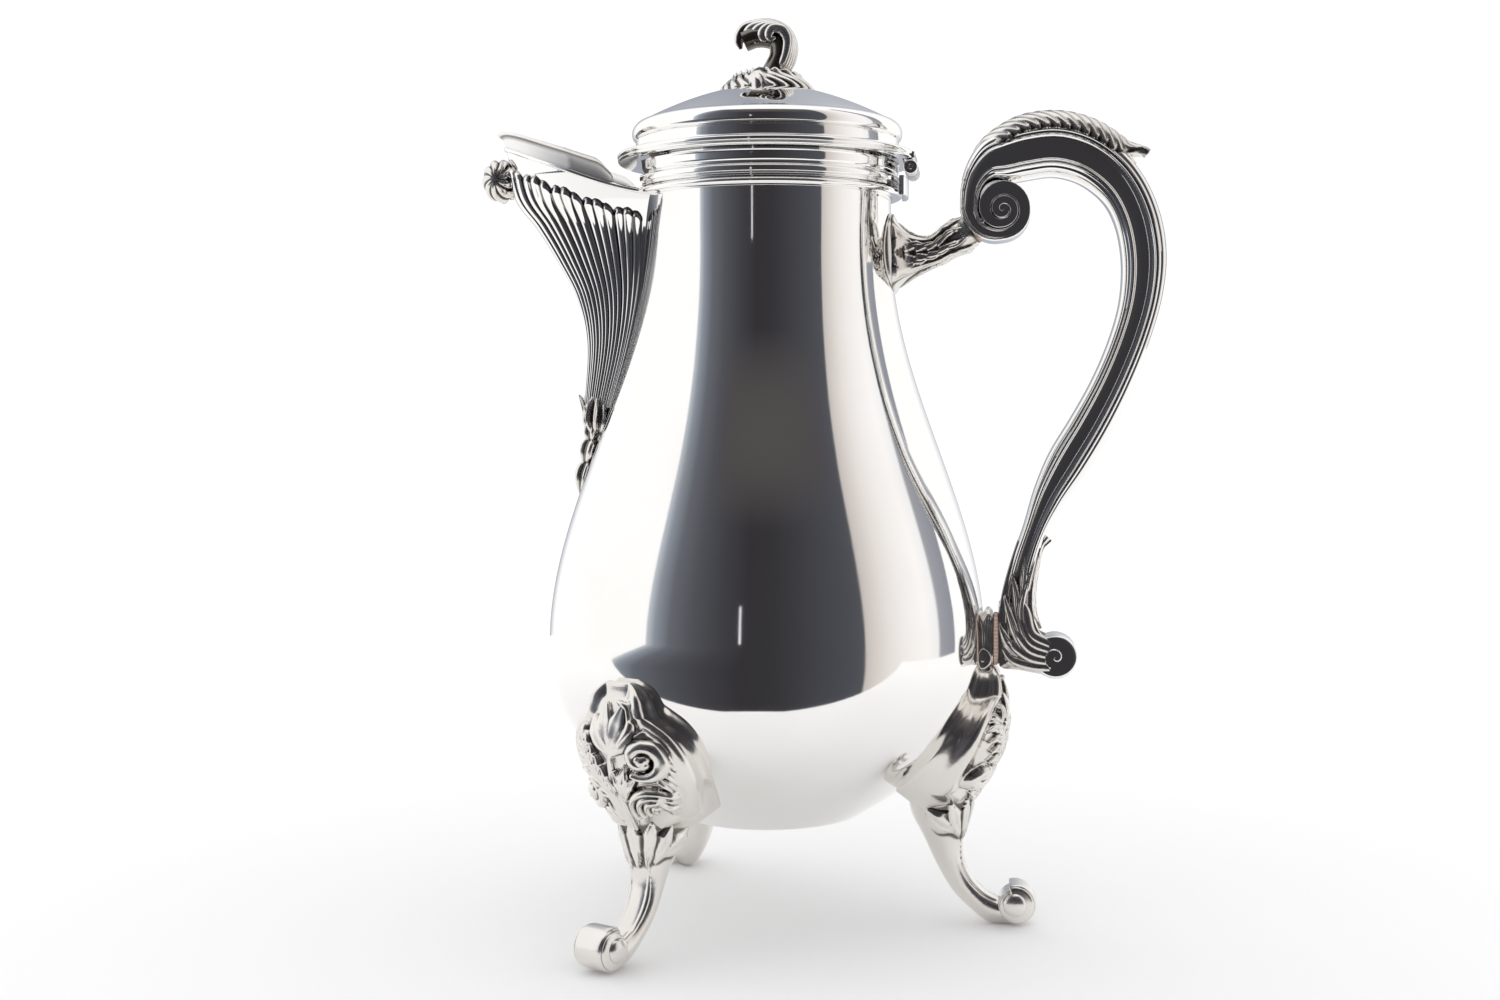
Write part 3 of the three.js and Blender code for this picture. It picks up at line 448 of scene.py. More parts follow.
def make_lid():
    notch_x = PIN[0] - KNUCKLE_RADIUS - 0.3
    notch_half = HINGE_HALF + 0.6
    inner = BEZEL_RADIUS + 0.02
    profile = rounded([
        (inner, FLANGE_BASE), (FLANGE_RADIUS - 0.5, FLANGE_BASE), (FLANGE_RADIUS - 0.05, FLANGE_BASE + 0.5),
        (FLANGE_RADIUS - 0.45, FLANGE_BASE + 0.95), (FLANGE_RADIUS - 0.02, FLANGE_BASE + 1.25),
        (FLANGE_RADIUS, FLANGE_BASE + 2.1), (FLANGE_RADIUS - 0.5, FLANGE_BASE + 2.5),
        (DOME_RADIUS + 0.6, FLANGE_BASE + 2.75), (DOME_RADIUS - 0.75, FLANGE_BASE + 3.2),
        (DOME_RADIUS - 1.05, FLANGE_BASE + 3.7), (DOME_RADIUS - 1.1, FLANGE_TOP),
        (inner, FLANGE_TOP)], 0.3, 4)
    half = math.asin(notch_half / FLANGE_RADIUS)
    angles = np.concatenate([np.linspace(-half, half, 24), np.linspace(half + 2e-4, TAU - half - 2e-4, 260)])
    radius, height = profile[:, 0], profile[:, 1]
    limit = np.where(np.abs(np.sin(angles)) * FLANGE_RADIUS <= notch_half + 1e-3,
                     notch_x / np.maximum(np.cos(angles), 0.2), 1e3)
    limit = np.where(np.cos(angles) > 0, limit, 1e3)
    r = np.minimum(radius[None], limit[:, None])
    points = np.stack([r * np.cos(angles)[:, None], r * np.sin(angles)[:, None],
                       np.broadcast_to(height, r.shape)], -1)
    faces = grid_faces(len(angles), len(profile), wrap_rows=True, wrap_columns=True)
    add_piece("lid_flange_moulding", points, faces, "lid", "polished_silver", ["lid_flange"], sharp=50)

    torus = spline([(DOME_RADIUS - 1.2, DOME_BASE - 0.3), (DOME_RADIUS - 0.3, DOME_BASE + 0.5),
                    (DOME_RADIUS, DOME_BASE + 1.9), (DOME_RADIUS - 0.35, DOME_BASE + 3.4),
                    (DOME_RADIUS - 1.5, DOME_BASE + 4.7), (DOME_RADIUS - 3.2, DOME_BASE + 5.4)], 40)
    share = np.linspace(0.985, 0, 90)
    crown = np.stack([CROWN_RADIUS * share, crown_height(share)], -1)
    outline = np.vstack([torus, crown])
    inside = np.stack([np.maximum(outline[:, 0] - WALL, 0), outline[:, 1] - WALL * 0.9], -1)[::-1]
    shell = np.vstack([outline[:-1], [[0.01, DOME_TOP]], [[0.01, DOME_TOP - WALL]], inside[1:]])
    points, faces = turned(shell, 280)
    add_piece("lid_dome_shell", points, faces, "lid", "polished_silver", ["lid_dome"], sharp=50)

    bezel_low = low_high("lid_bezel", 2)[0]
    bezel = rounded([(BEZEL_RADIUS - WALL, bezel_low), (BEZEL_RADIUS, bezel_low), (BEZEL_RADIUS, FLANGE_TOP),
                     (BEZEL_RADIUS - WALL, FLANGE_TOP)], 0.3, 3)
    points, faces = turned(bezel, 220)
    add_piece("lid_bezel_sleeve", points, faces, "lid", "polished_silver", ["lid_bezel"])


# ------------------------------------------------------------------ swept and carved forms
def normals_of(points):
    """Unit normals of a grid of points (rows, columns, 3)."""
    along = np.gradient(points, axis=0)
    across = np.gradient(points, axis=1)
    return units(np.cross(along, across))


def stroke(path, widths, height, veins=0, count=26):
    """One carved lobe or stem: its path in the flat, its half-widths along the path and its height."""
    path = spline(path, count)
    at = np.linspace(0, 1, len(widths))
    return path, np.interp(np.linspace(0, 1, count), at, widths), height, veins


def spiral(centre, start_radius, end_radius, start, turns, count=20):
    """Points winding about a centre; a negative number of turns goes clockwise."""
    share = np.linspace(0, 1, count)
    radius = start_radius + (end_radius - start_radius) * share
    angle = start + TAU * turns * share
    return np.stack([centre[0] + radius * np.cos(angle), centre[1] + radius * np.sin(angle)], -1)


BLUR_STEPS = 30  # how far round a carved point its neighbours shade it


def carve(flat, strokes):
    """Height of overlapping strokes at points in the flat, and how open to the light each point is."""
    shape = flat.shape[:-1]
    points = flat.reshape(-1, 2)
    height = np.zeros(len(points))
    openness = np.full(len(points), 0.12)
    for path, widths, top, veins in strokes:
        reach = widths.max() + 0.1
        near = np.all((points > path.min(0) - reach) & (points < path.max(0) + reach), axis=1)
        if not near.any():
            continue
        chosen = points[near]
        a, b = path[:-1], path[1:]
        ab = b - a
        length2 = np.maximum((ab ** 2).sum(-1), 1e-9)
        rel = chosen[:, None] - a[None]
        t = np.clip((rel * ab[None]).sum(-1) / length2, 0, 1)
        gap = rel - t[..., None] * ab[None]
        distance = np.sqrt((gap ** 2).sum(-1))
        best = distance.argmin(1)
        pick = np.arange(len(chosen))
        share = (best + t[pick, best]) / len(a)
        side = np.sign(ab[best, 0] * gap[pick, best, 1] - ab[best, 1] * gap[pick, best, 0])
        width = np.interp(share, np.linspace(0, 1, len(widths)), widths)
        q = distance[pick, best] / np.maximum(width, 1e-6)
        ridge = top * np.sqrt(np.clip(1 - q ** 2, 0, 1)) * (0.55 + 0.45 * np.minimum(width / widths.max(), 1))
        # painted highlight along the middle of each stroke, painted shade towards its edges and in its veins
        bright = smoothstep(1 - q, 0.02, 0.42)
        if veins:
            vein = 0.5 + 0.5 * np.cos(math.pi * veins * side * q)
            ridge = ridge * (1 - 0.28 * vein)
            bright = bright * (1 - 0.55 * vein ** 3)
        over = ridge > height[near]
        spot = np.flatnonzero(near)[over]
        height[spot] = ridge[over]
        openness[spot] = 0.2 + 0.8 * bright[over]
    height, openness = height.reshape(shape), openness.reshape(shape)
    near = height
    for _ in range(BLUR_STEPS):
        beside = sum(np.roll(near, step, axis) for axis in (0, 1) for step in (1, -1))
        near = (2 * near + beside) / 6
    # painted shade in crevices beside higher carving
    crevice = 1 - 0.88 * smoothstep(near - height, 0.0, 0.3)
    return height, np.where(height < 0.05, 0.9, openness) * crevice


def superellipse(count, power):
    """A rounded section: depth runs -1..1 and width -1..1, starting at the outer side."""
    angle = circle(count)
    depth = np.sign(np.cos(angle)) * np.abs(np.cos(angle)) ** (2 / power)
    width = np.sign(np.sin(angle)) * np.abs(np.sin(angle)) ** (2 / power)
    return depth, width


def band_grid(outer, inner, half_widths, section):
    """Sections set between matching points of two edges in the handle's plane: rows along, columns round.

    A section is (depth, width): depth 1 at the outer edge and -1 at the inner one, width in half-widths.
    Each may be one row for the whole band or one row for each station.
    """
    outer, inner = np.asarray(outer, float), np.asarray(inner, float)
    depth, width = (np.asarray(part, float) for part in section)
    depth = np.broadcast_to(depth, (len(outer), depth.shape[-1]))
    width = np.broadcast_to(width, depth.shape)
    middle, half = (outer + inner) / 2, (outer - inner) / 2
    flat = middle[:, None] + depth[..., None] * half[:, None]
    y = np.broadcast_to(np.asarray(half_widths, float), (len(outer),))[:, None] * width
    return np.stack([flat[..., 0], y, flat[..., 1]], -1)


def capped(points):
    """Faces of a grid that closes round its columns, with both ends closed."""
    rows, columns = points.shape[:2]
    faces = grid_faces(rows, columns, wrap_columns=True)
    faces.append(list(range(columns))[::-1])
    faces.append([(rows - 1) * columns + i for i in range(columns)])
    return faces


def turned_about_y(profile, centre, columns=48):
    """A profile of (radius, y) turned about a line along Y through centre (x, z)."""
    profile = np.asarray(profile, float)
    angle = circle(columns)
    x = centre[0] + profile[:, 0][:, None] * np.cos(angle)
    z = centre[1] + profile[:, 0][:, None] * np.sin(angle)
    y = np.broadcast_to(profile[:, 1][:, None], x.shape)
    return np.stack([x, y, z], -1)


def spun(points, azimuth):
    """Points turned about the pot's axis."""
    x, y, z = np.moveaxis(np.asarray(points, float), -1, 0)
    c, s = math.cos(azimuth), math.sin(azimuth)
    return np.stack([c * x - s * y, s * x + c * y, z], -1)


def capsule(radius, half_length, bevel=0.3):
    """Profile of a bar along Y with eased ends."""
    end = [(0.001, half_length), (radius - bevel, half_length),
           (radius - bevel * 0.3, half_length - bevel * 0.3), (radius, half_length - bevel)]
    return [(r, -y) for r, y in end] + end[::-1]


def add_bar(name, node, radius, half_length, body, slot="polished_silver", bevel=0.3):
    """A round bar along Y in the place of a CAD node."""
    centre = [sum(low_high(node, axis)) / 2 for axis in range(3)]
    points = turned_about_y(capsule(radius, half_length, bevel), (centre[0], centre[2]))
    points[..., 1] += centre[1]
    add_tube(name, points, body, slot, [node], sharp=40)


# ------------------------------------------------------------------ spout
SPOUT_FRONT = spline([
    (SPOUT_FOOT_Z, float(body_radius(SPOUT_FOOT_Z)) + 8.6),
    (SPOUT_FOOT_Z + 20, float(body_radius(SPOUT_FOOT_Z)) + 7.7),
    (SPOUT_FOOT_Z + 33, SPOUT_REACH - 22),
    (SPOUT_FOOT_Z + 44, SPOUT_REACH - 16.2),
    (SPOUT_RIM_Z - 8, SPOUT_REACH - 9.6),
    (SPOUT_RIM_Z, SPOUT_REACH - 3.6),
    (SPOUT_TIP_Z, SPOUT_REACH)], 200)
RIB_GROUPS = 5  # on each side
RIBS_IN_GROUP = 3
RIB_TOP_DROP = 5.4  # from the rim down to the ribs' scalloped tops
RIB_RELIEF = 1.15
RIM_WIRE_RADIUS = 0.75
LIP_HEIGHT = 5.8
RIBS_END = 0.97  # share of the way round to the body where the plain margin begins


def spout_point(share, turn, out=0.0, foot_lift=0.0):
    """A point of the trough's skin: share runs from foot to rim, turn goes round the nose."""
    rim = SPOUT_RIM_Z + SPOUT_RIM_RISE * np.maximum(np.cos(turn), 0) ** 1.5
    foot = SPOUT_FOOT_Z + foot_lift
    z = foot + (rim - foot) * share
    width = spout_width(z) + out
    root = np.sqrt(np.maximum(body_radius(z) ** 2 - width ** 2, 0))
    front = read_off(SPOUT_FRONT, z) + out
    reach = root + (front - root) * np.cos(turn)
    return np.stack([-reach, width * np.sin(turn), z], -1)


def make_spout():
    share, turn = crossed(np.linspace(0, 1, 190), np.linspace(-math.pi / 2, math.pi / 2, 420))
    skin = spout_point(share, turn)
    bend = np.abs(turn) * 2 / math.pi
    group = (0.62 * (1 - np.cos(turn)) + 0.38 * bend) / RIBS_END * RIB_GROUPS
    within = group - np.floor(group)
    lobe = np.sin(math.pi * within)
    rib = np.abs(np.sin(math.pi * RIBS_IN_GROUP * within))
    rim_z = SPOUT_RIM_Z + SPOUT_RIM_RISE * np.maximum(np.cos(turn), 0) ** 1.5
    scallop = 1.6 * lobe ** 0.6 + 0.7 * rib
    below = rim_z - RIB_TOP_DROP - 2.0 + scallop - skin[..., 2]
    ribbed = smoothstep(below, 0, 1.1) * (group < RIB_GROUPS)
    size = np.clip(spout_width(skin[..., 2]) / SPOUT_HALF_WIDTH, 0.25, 1)
    rise = RIB_RELIEF * ribbed * (0.1 + 0.45 * lobe ** 0.5 + 0.6 * rib ** 0.6) * size ** 0.6
    normal = normals_of(skin)
    normal *= np.sign((normal * np.array([-1, 0, -0.2])).sum(-1).mean())
    outside = skin + normal * rise[..., None]
    inside = spout_point(share, turn, -WALL, 5)
    # painted shade in the grooves between ribs and along the ribs' scalloped tops
    relief = np.where(ribbed > 0.02, 0.14 + 0.86 * smoothstep(rib, 0.22, 0.62), 1.0)
    edge = smoothstep(below, -0.5, 0.1) * (1 - smoothstep(below, 0.2, 1.3)) * (group < RIB_GROUPS)
    relief = relief * (1 - 0.75 * edge)
    add_piece("spout_trough_fluted", [outside, inside], sheet_faces(*share.shape), "pot", "polished_silver",
              ["spout_trough"], [relief, np.ones_like(relief)], sharp=60)


def rim_and_outward(turn):
    """Points of the trough's rim, and the level directions out from it."""
    return spout_point(1, turn), np.stack([-np.cos(turn), np.sin(turn), 0 * turn], -1)


def make_spout_rim():
    """Wire along the trough's rim, and the flared lip on it."""
    rim, outward = rim_and_outward(np.linspace(-math.pi / 2, math.pi / 2, 220))
    wire_angle = circle(14)
    wire = rim[:, None] + RIM_WIRE_RADIUS * (np.cos(wire_angle)[None, :, None] * outward[:, None]
                                              + np.sin(wire_angle)[None, :, None] * np.array([0, 0, 1.0]))
    add_tube("spout_rim_wire", wire, "pot", "polished_silver", sharp=0)
    end = math.acos((FLANGE_RADIUS + 3.5 - NECK_RADIUS) / (SPOUT_REACH - NECK_RADIUS))
    turn = np.linspace(-end, end, 180)
    rim, outward = rim_and_outward(turn)
    lift = LIP_HEIGHT * (1 - 0.4 * np.cos(turn) ** 16) * smoothstep(end - np.abs(turn), -0.12, 0.1)
    flare = [(0.0, 0.0), (0.35, 0.3), (0.8, 0.62), (1.55, 0.85), (2.6, 1.0), (2.75, 1.07), (2.55, 1.1),
             (1.2, 0.93), (-0.2, 0.66), (-0.85, 0.3), (-1.1, 0.0)]
    lip = np.stack([rim + out * outward + np.stack([0 * turn, 0 * turn, 0.3 + up * lift], -1)
                    for out, up in flare], 1)
    shade = np.ones(lip.shape[:2])
    # painted shadow line just under the lip's rolled edge
    shade[:, 2:4] = (0.55, 0.15)
    piece = add_tube("spout_lip_flare", lip, "pot", "polished_silver", ["spout_lip"], shade, sharp=50)
    piece.data.materials[0] = SATIN


def make_tip_scroll():
    """Ringed roll under the tip."""
    x0 = low_high("spout_tip_scroll", 0)[0]
    (y0, y1), (z0, z1) = (low_high("spout_tip_scroll", axis) for axis in (1, 2))
    half_length = (y1 - y0) / 2
    radius = 5.5
    flutes = 9
    share, around = crossed(np.linspace(-1, 1, 130), circle(180))
    bead = np.abs(np.cos(around * flutes / 2 + 2.2 * np.abs(share)))
    barrel = np.clip(1 - np.abs(share) ** 2.4, 0, 1) ** 0.5
    reach = np.maximum(radius * barrel * (0.8 + 0.2 * bead ** 0.6), 0.01)
    centre = (x0 + radius + 0.1, (z0 + z1) / 2)
    points = np.stack([centre[0] + reach * np.cos(around), share * half_length,
                       centre[1] + 1.2 * reach * np.sin(around)], -1)
    # painted shade in the grooves between the roll's beads
    relief = 0.1 + 0.9 * smoothstep(bead, 0.35, 0.75)
    add_tube("spout_tip_roll", points, "pot", "cast_silver", ["spout_tip_scroll"], relief, sharp=60)


def husk(name, foot, tip, half_width, thickness, curl, nodes=(), lobes=3):
    """A small pointed leaf on the spout's centre line; foot and tip are (distance from the axis, z)."""
    share, around = crossed(np.linspace(0, 1, 60), circle(72))
    foot, tip = np.asarray(foot, float), np.asarray(tip, float)
    direction = (tip - foot) / np.linalg.norm(tip - foot)
    out = np.array([direction[1], -direction[0]])
    out *= np.sign(out[0]) or 1
    swell = np.sin(math.pi * np.clip(share, 0, 1) ** 0.75) ** 0.7 + 0.02
    ridge = 1 + 0.14 * np.cos(around * 2 * lobes)
    middle = foot + share[..., None] * (tip - foot) + curl * share[..., None] ** 3 * out
    across = half_width * swell * np.cos(around) * ridge
    height = thickness * swell * np.sin(around) * ridge
    flat = middle + height[..., None] * out
    points = np.stack([-flat[..., 0], across, flat[..., 1]], -1)
    # painted shade between the leaf's lobes and towards its thin ends
    relief = 0.2 + 0.8 * smoothstep(ridge, 0.9, 1.08) * smoothstep(swell, 0.1, 0.5)
    add_tube(name, points, "pot", "cast_silver", nodes, relief, sharp=60)


def make_spout_drop():
    """Curled leaf under the trough and the husk drop below it."""
    def on_body(z, out):
        return (float(body_radius(z)) + out, z)

    foot = SPOUT_FOOT_Z
    husk("spout_cup", on_body(foot - 9, 1.6), on_body(foot + 6.5, 5.6), 6.4, 4.4, 0.6, lobes=5)
    husk("spout_leaf_curl", on_body(foot - 10, 1.6), on_body(foot + 4.4, 10.4), 3.6, 1.6, 1.8, ["spout_leaf"])
    husk("spout_drop_upper", on_body(foot - 3, 4.2), on_body(foot - 12.5, 1.2), 4.4, 3.2, 0.8, ["spout_drop"])
    husk("spout_drop_middle", on_body(foot - 8.5, 2.2), on_body(foot - 18.5, 1.2), 4.2, 3.6, 0.6)
    husk("spout_drop_bud", on_body(foot - 15.5, 1.4), on_body(foot - 26.6, 0.3), 3.6, 3.3, 0.3, lobes=4)


# ------------------------------------------------------------------ handle
GRIP_HALF = low_high("handle_grip", 1)[1]
GRIP_REACH = low_high("handle_grip", 0)[1]
VOLUTE_CENTRE = (GRIP_REACH - 47.7, 210.8)
# degrees turned inwards, and the distance from the eye
VOLUTE_SPIRAL = [(180, 12.4), (270, 8.9), (360, 8.1), (450, 8.6), (540, 7.0), (630, 5.4), (720, 4.5),
                 (810, 4.0), (900, 3.3), (990, 2.6), (1080, 2.0), (1170, 1.3), (1260, 0.7), (1420, 0.1)]
VOLUTE_END = 1060


def back(distance, z):
    """A point of the handle's plane, measured back from the grip's furthest reach."""
    return (GRIP_REACH - distance, z)


def set_back(points):
    return [back(*point) for point in points]


def volute_edge(turned_by):
    """A point of the volute's spiral after turning inwards from its left side."""
    angles, radii = zip(*VOLUTE_SPIRAL)
    radius = np.interp(turned_by, angles, radii)
    angle = math.radians(turned_by)
    return (VOLUTE_CENTRE[0] + radius * math.cos(angle), VOLUTE_CENTRE[1] + radius * math.sin(angle))


def grip_edges():
    """Matching points of the grip's outer and inner edges from the volute's eye to the tail."""
    turns = np.arange(VOLUTE_END, 180, -12)
    outer = [volute_edge(a) for a in turns]
    inner = [volute_edge(a + 360) for a in turns]
    long_outer = set_back([
        (60.2, 211), (60.0, 217.5), (58.3, 224.2), (54.2, 230.6), (48.0, 234.2), (40.5, 236.6),
        (32, 237.2), (24, 235.4), (17, 231.6), (10.6, 225.8), (5.4, 218.2), (1.6, 208.5), (0, 198),
        (0.8, 187), (3.6, 175.6), (8.6, 162), (14.9, 148.4), (22.6, 135), (29.6, 125), (34.4, 116.6),
        (37.3, 107.5), (38.6, 98), (38.0, 91.5), (36.3, 87.4), (34.6, 85.8)])
    long_inner = set_back([
        (54.7, 211), (54.0, 215.4), (52.2, 218.2), (49.6, 219.4), (46.2, 218.8), (41.2, 219.5),
        (33.6, 220.4), (27.4, 219), (22.6, 216.2), (18.4, 212), (15.6, 206.4), (14, 199.6), (13.5, 192),
        (14.4, 182.6), (17.6, 171.6), (22.3, 160.6), (28, 150.2), (34, 140), (38.2, 129.6), (41.2, 119),
        (44.4, 109.4), (46.8, 100.6), (48.1, 93), (48.2, 84.5), (47.8, 77.4)])
    count = 230
    at = np.linspace(0, 1, len(long_outer))
    fine = np.linspace(0, 1, count)

    def through(points):
        smooth = spline(points, 800)
        flat = np.asarray(points, float)
        nearest = [int(np.argmin(((smooth - p) ** 2).sum(-1))) for p in flat]
        index = np.interp(fine, at, nearest)
        return np.stack([np.interp(index, np.arange(800), smooth[:, k]) for k in range(2)], -1)

    outer = np.vstack([outer, through(long_outer)])
    inner = np.vstack([inner, through(long_inner)])
    return outer, inner, len(turns)


def panelled_section():
    """Half of the grip's section, outer side to inner: rounded edges, beads and a sunk side panel."""
    rounding = [(math.cos(a), math.sin(a)) for a in np.linspace(0, math.pi / 2, 9)]
    side = [(0.62 + 0.38 * c, 0.92 * s ** 0.8) for c, s in rounding]
    side += [(0.585, 0.965), (0.55, 0.98), (0.52, 0.96), (0.50, 0.90), (0.47, 0.90), (0.44, 0.97),
             (0.40, 1.0),
             (0.35, 0.98), (0.32, 0.93), (0.29, 0.86), (0.22, 0.835), (0.0, 0.82), (-0.25, 0.825),
             (-0.38, 0.84),
             (-0.42, 0.90), (-0.45, 0.965), (-0.49, 0.985), (-0.52, 0.95), (-0.535, 0.905), (-0.55, 0.95),
             (-0.58, 0.985), (-0.615, 0.95)]
    side += [(-0.64 - 0.36 * s, 0.92 * c ** 0.75) for c, s in rounding[:-1]] + [(-1, 0)]
    return np.array(side)


def make_grip():
    outer, inner, volute_rows = grip_edges()
    side = panelled_section()
    section = np.vstack([side, np.stack([side[-2:0:-1, 0], -side[-2:0:-1, 1]], -1)])
    plain_depth = np.sign(section[:, 0]) * np.abs(section[:, 0]) ** 0.7
    plain_width = np.clip((1 - np.abs(section[:, 0]) ** 16), 0, 1) ** 0.35 * np.sign(section[:, 1])
    rows = len(outer)
    blend = smoothstep(np.arange(rows), volute_rows - 14, volute_rows + 22)[:, None]
    depth = plain_depth * (1 - blend) + section[:, 0] * blend
    width = plain_width * (1 - blend) + section[:, 1] * blend
    eye_growth = 1.5 * (1 - smoothstep(np.arange(rows), 2, volute_rows - 2))
    half = GRIP_HALF - 0.1 + eye_growth
    points = band_grid(outer, inner, half, (depth, width))
    relief = np.full(points.shape[:2], 1.0)
    section_depth, section_width = np.abs(section).T
    # painted shade in the grooves beside the beads and in the sunk side panel
    groove = (section_width > 0.888) & (section_width < 0.917)
    relief[volute_rows + 10:, groove] = 0.35
    panel = (section_width < 0.85) & (section_depth < 0.4)
    relief[volute_rows + 10:, panel] = 0.62
    add_tube("handle_grip_scroll", points, "pot", "polished_silver", ["handle_grip"], relief, sharp=40)
    eye_half = GRIP_HALF + 0.8
    eye = turned_about_y([(0.005, -eye_half), (2.5, -eye_half), (2.8, 0.3 - eye_half), (2.8, eye_half - 0.3),
                          (2.5, eye_half), (0.005, eye_half)], VOLUTE_CENTRE, 48)
    add_tube("handle_volute_eye", eye, "pot", "polished_silver", relief=np.full(eye.shape[:2], 0.6), sharp=35)
    return outer[volute_rows:], inner[volute_rows:]


def scroll_disc(name, centre, radius, half_width, turns, direction, start, body, slot, nodes=(), swell=0.9):
    """A short roll along Y whose faces rise in a spiral step towards the eye."""
    rings, columns = 46, 120
    angle = circle(columns)
    share = np.linspace(0, 1, rings)
    r, a = crossed(share * radius, angle)
    phase = (a * direction - start) / TAU % 1
    edge = radius * (1 - (np.arange(1, 9)[:, None, None] - 1 + phase[None]) / (turns + 0.4))
    steps = sum(smoothstep(edge_k - r, -0.05, 0.25) for edge_k in edge[1:]) / turns
    rim = np.clip(1 - share ** 14, 0, 1) ** 0.5
    rise = half_width * (0.86 + 0.14 * rim[:, None]) + swell * np.clip(steps, 0, 1)
    front = np.stack([centre[0] + r * np.cos(a), -rise, centre[1] + r * np.sin(a)], -1)
    behind = np.stack([front[..., 0], rise, front[..., 2]], -1)[::-1]
    points = np.vstack([front, behind])
    add_tube(name, points, body, slot, nodes, sharp=35)


def sheet_faces(rows, columns):
    """Faces of a closed sheet: a grid, the same grid again behind it, and the strip round their edges."""
    start = rows * columns
    faces = grid_faces(rows, columns) + [face[::-1] for face in grid_faces(rows, columns, start=start)]
    ring = ([(0, i) for i in range(columns - 1)] + [(i, columns - 1) for i in range(rows - 1)]
            + [(rows - 1, i) for i in range(columns - 1, 0, -1)] + [(i, 0) for i in range(rows - 1, 0, -1)])
    index = [r * columns + c for r, c in ring]
    for a, b in zip(index, index[1:] + index[:1]):
        faces.append((b, a, start + a, start + b))
    return faces


def carved_sheet(name, surface, flat, strokes, body, slot, nodes=(), thickness=1.2, lift=0.0, mask=None,
                 brightness=1.0):
    """A sheet laid over a surface grid, carved with strokes drawn in the flat grid's coordinates."""
    height, relief = carve(flat, strokes)
    normal = normals_of(surface)
    if mask is not None:
        height = height * mask
    top = surface + normal * (height + lift)[..., None]
    bottom = surface - normal * thickness
    # top face carries oxide and painted shade scaled by brightness; the underside is painted shade at a flat
    # 0.8
    shade = [relief * brightness, np.full(relief.shape, 0.8)]
    return add_piece(name, [top, bottom], sheet_faces(*relief.shape), body, slot, nodes, shade, sharp=70)


def make_thumb_leaf(outer):
    """Serrated leaf lying over the top of the grip, with a free tip."""
    keep = (outer[:, 1] > 219) & (outer[:, 0] > GRIP_REACH - 60) & (outer[:, 0] < GRIP_REACH - 9)
    edge = resample(outer[keep], 150)
    out = left_of(edge)
    length = arc_length(edge)
    total = length[-1]
    share = length / total
    crown = 1.7 * smoothstep(share, 0.12, 0.45)
    curl = 2.4 * smoothstep(share, 0.86, 1.0) ** 2
    reach = 0.7 + 5.7 * smoothstep(share, 0.0, 0.3) * (1 - 0.45 * smoothstep(share, 0.86, 1.0))
    across = np.linspace(-1, 1, 90)
    s, q = crossed(share, across)
    drop = 5.0 * np.abs(q) ** 2.6 * (smoothstep(share, 0, 0.25) * (1 - smoothstep(share, 0.9, 1.0)))[:, None]
    away = crown[:, None] + curl[:, None] - drop
    centre = edge[:, None] + out[:, None] * away[..., None]
    surface = np.stack([centre[..., 0], q * reach[:, None], centre[..., 1]], -1)
    flat = np.stack([length[:, None] + 0 * q, q * 9.5], -1)
    strokes = [stroke([(1, 0), (total * 0.5, 0), (total, 0)], (0.5, 1.3, 0.9, 0.5), 1.0)]
    lobes = 17
    for i in range(lobes):
        start = total * (0.10 + 0.84 * i / lobes)
        for side in (-1, 1):
            strokes.append(stroke(
                [(start, side * 0.6), (start + 3.2, side * 4.2), (start + 8.4, side * 8.6)],
                (0.6, 2.2, 2.5, 1.2), 1.25, veins=3))
    # the whole leaf painted darker, brightness 0.6, as painted shade
    carved_sheet("thumb_leaf_acanthus", surface, flat, strokes, "pot", "cast_silver", ["thumb_leaf"], 1.0,
                 mask=0.2 + 0.8 * smoothstep(s, 0.05, 0.42), brightness=0.6)


def frond(name, outer, inner, side, low, high, strokes):
    """Fronds on one flank of the grip between two heights, drawn in mm up the grip and across it."""
    keep = (outer[:, 1] < high) & (outer[:, 1] > low)
    rim_out, rim_in = resample(outer[keep][::-1], 110), resample(inner[keep][::-1], 110)
    length = arc_length(rim_out)
    share = np.linspace(0.0, 1, 60)
    v = (share - 0.5)[None] * np.linalg.norm(rim_out - rim_in, axis=1)[:, None]
    flat_xz = rim_in[:, None] + share[None, :, None] * (rim_out - rim_in)[:, None]
    sink = 0.8 + 1.5 * smoothstep(length / length[-1], 0.62, 1.0)[:, None]
    surface = np.stack([flat_xz[..., 0], side * (GRIP_HALF - sink + 0 * v), flat_xz[..., 1]], -1)
    flat = np.stack([length[:, None] + 0 * v, v], -1)
    if side > 0:
        surface, flat = surface[:, ::-1], flat[:, ::-1]
    normal = normals_of(surface)
    if (normal[..., 1] * side).mean() < 0:
        surface, flat = surface[::-1], flat[::-1]
    carved_sheet(name, surface, flat, strokes, "pot", "cast_silver", thickness=1.5)


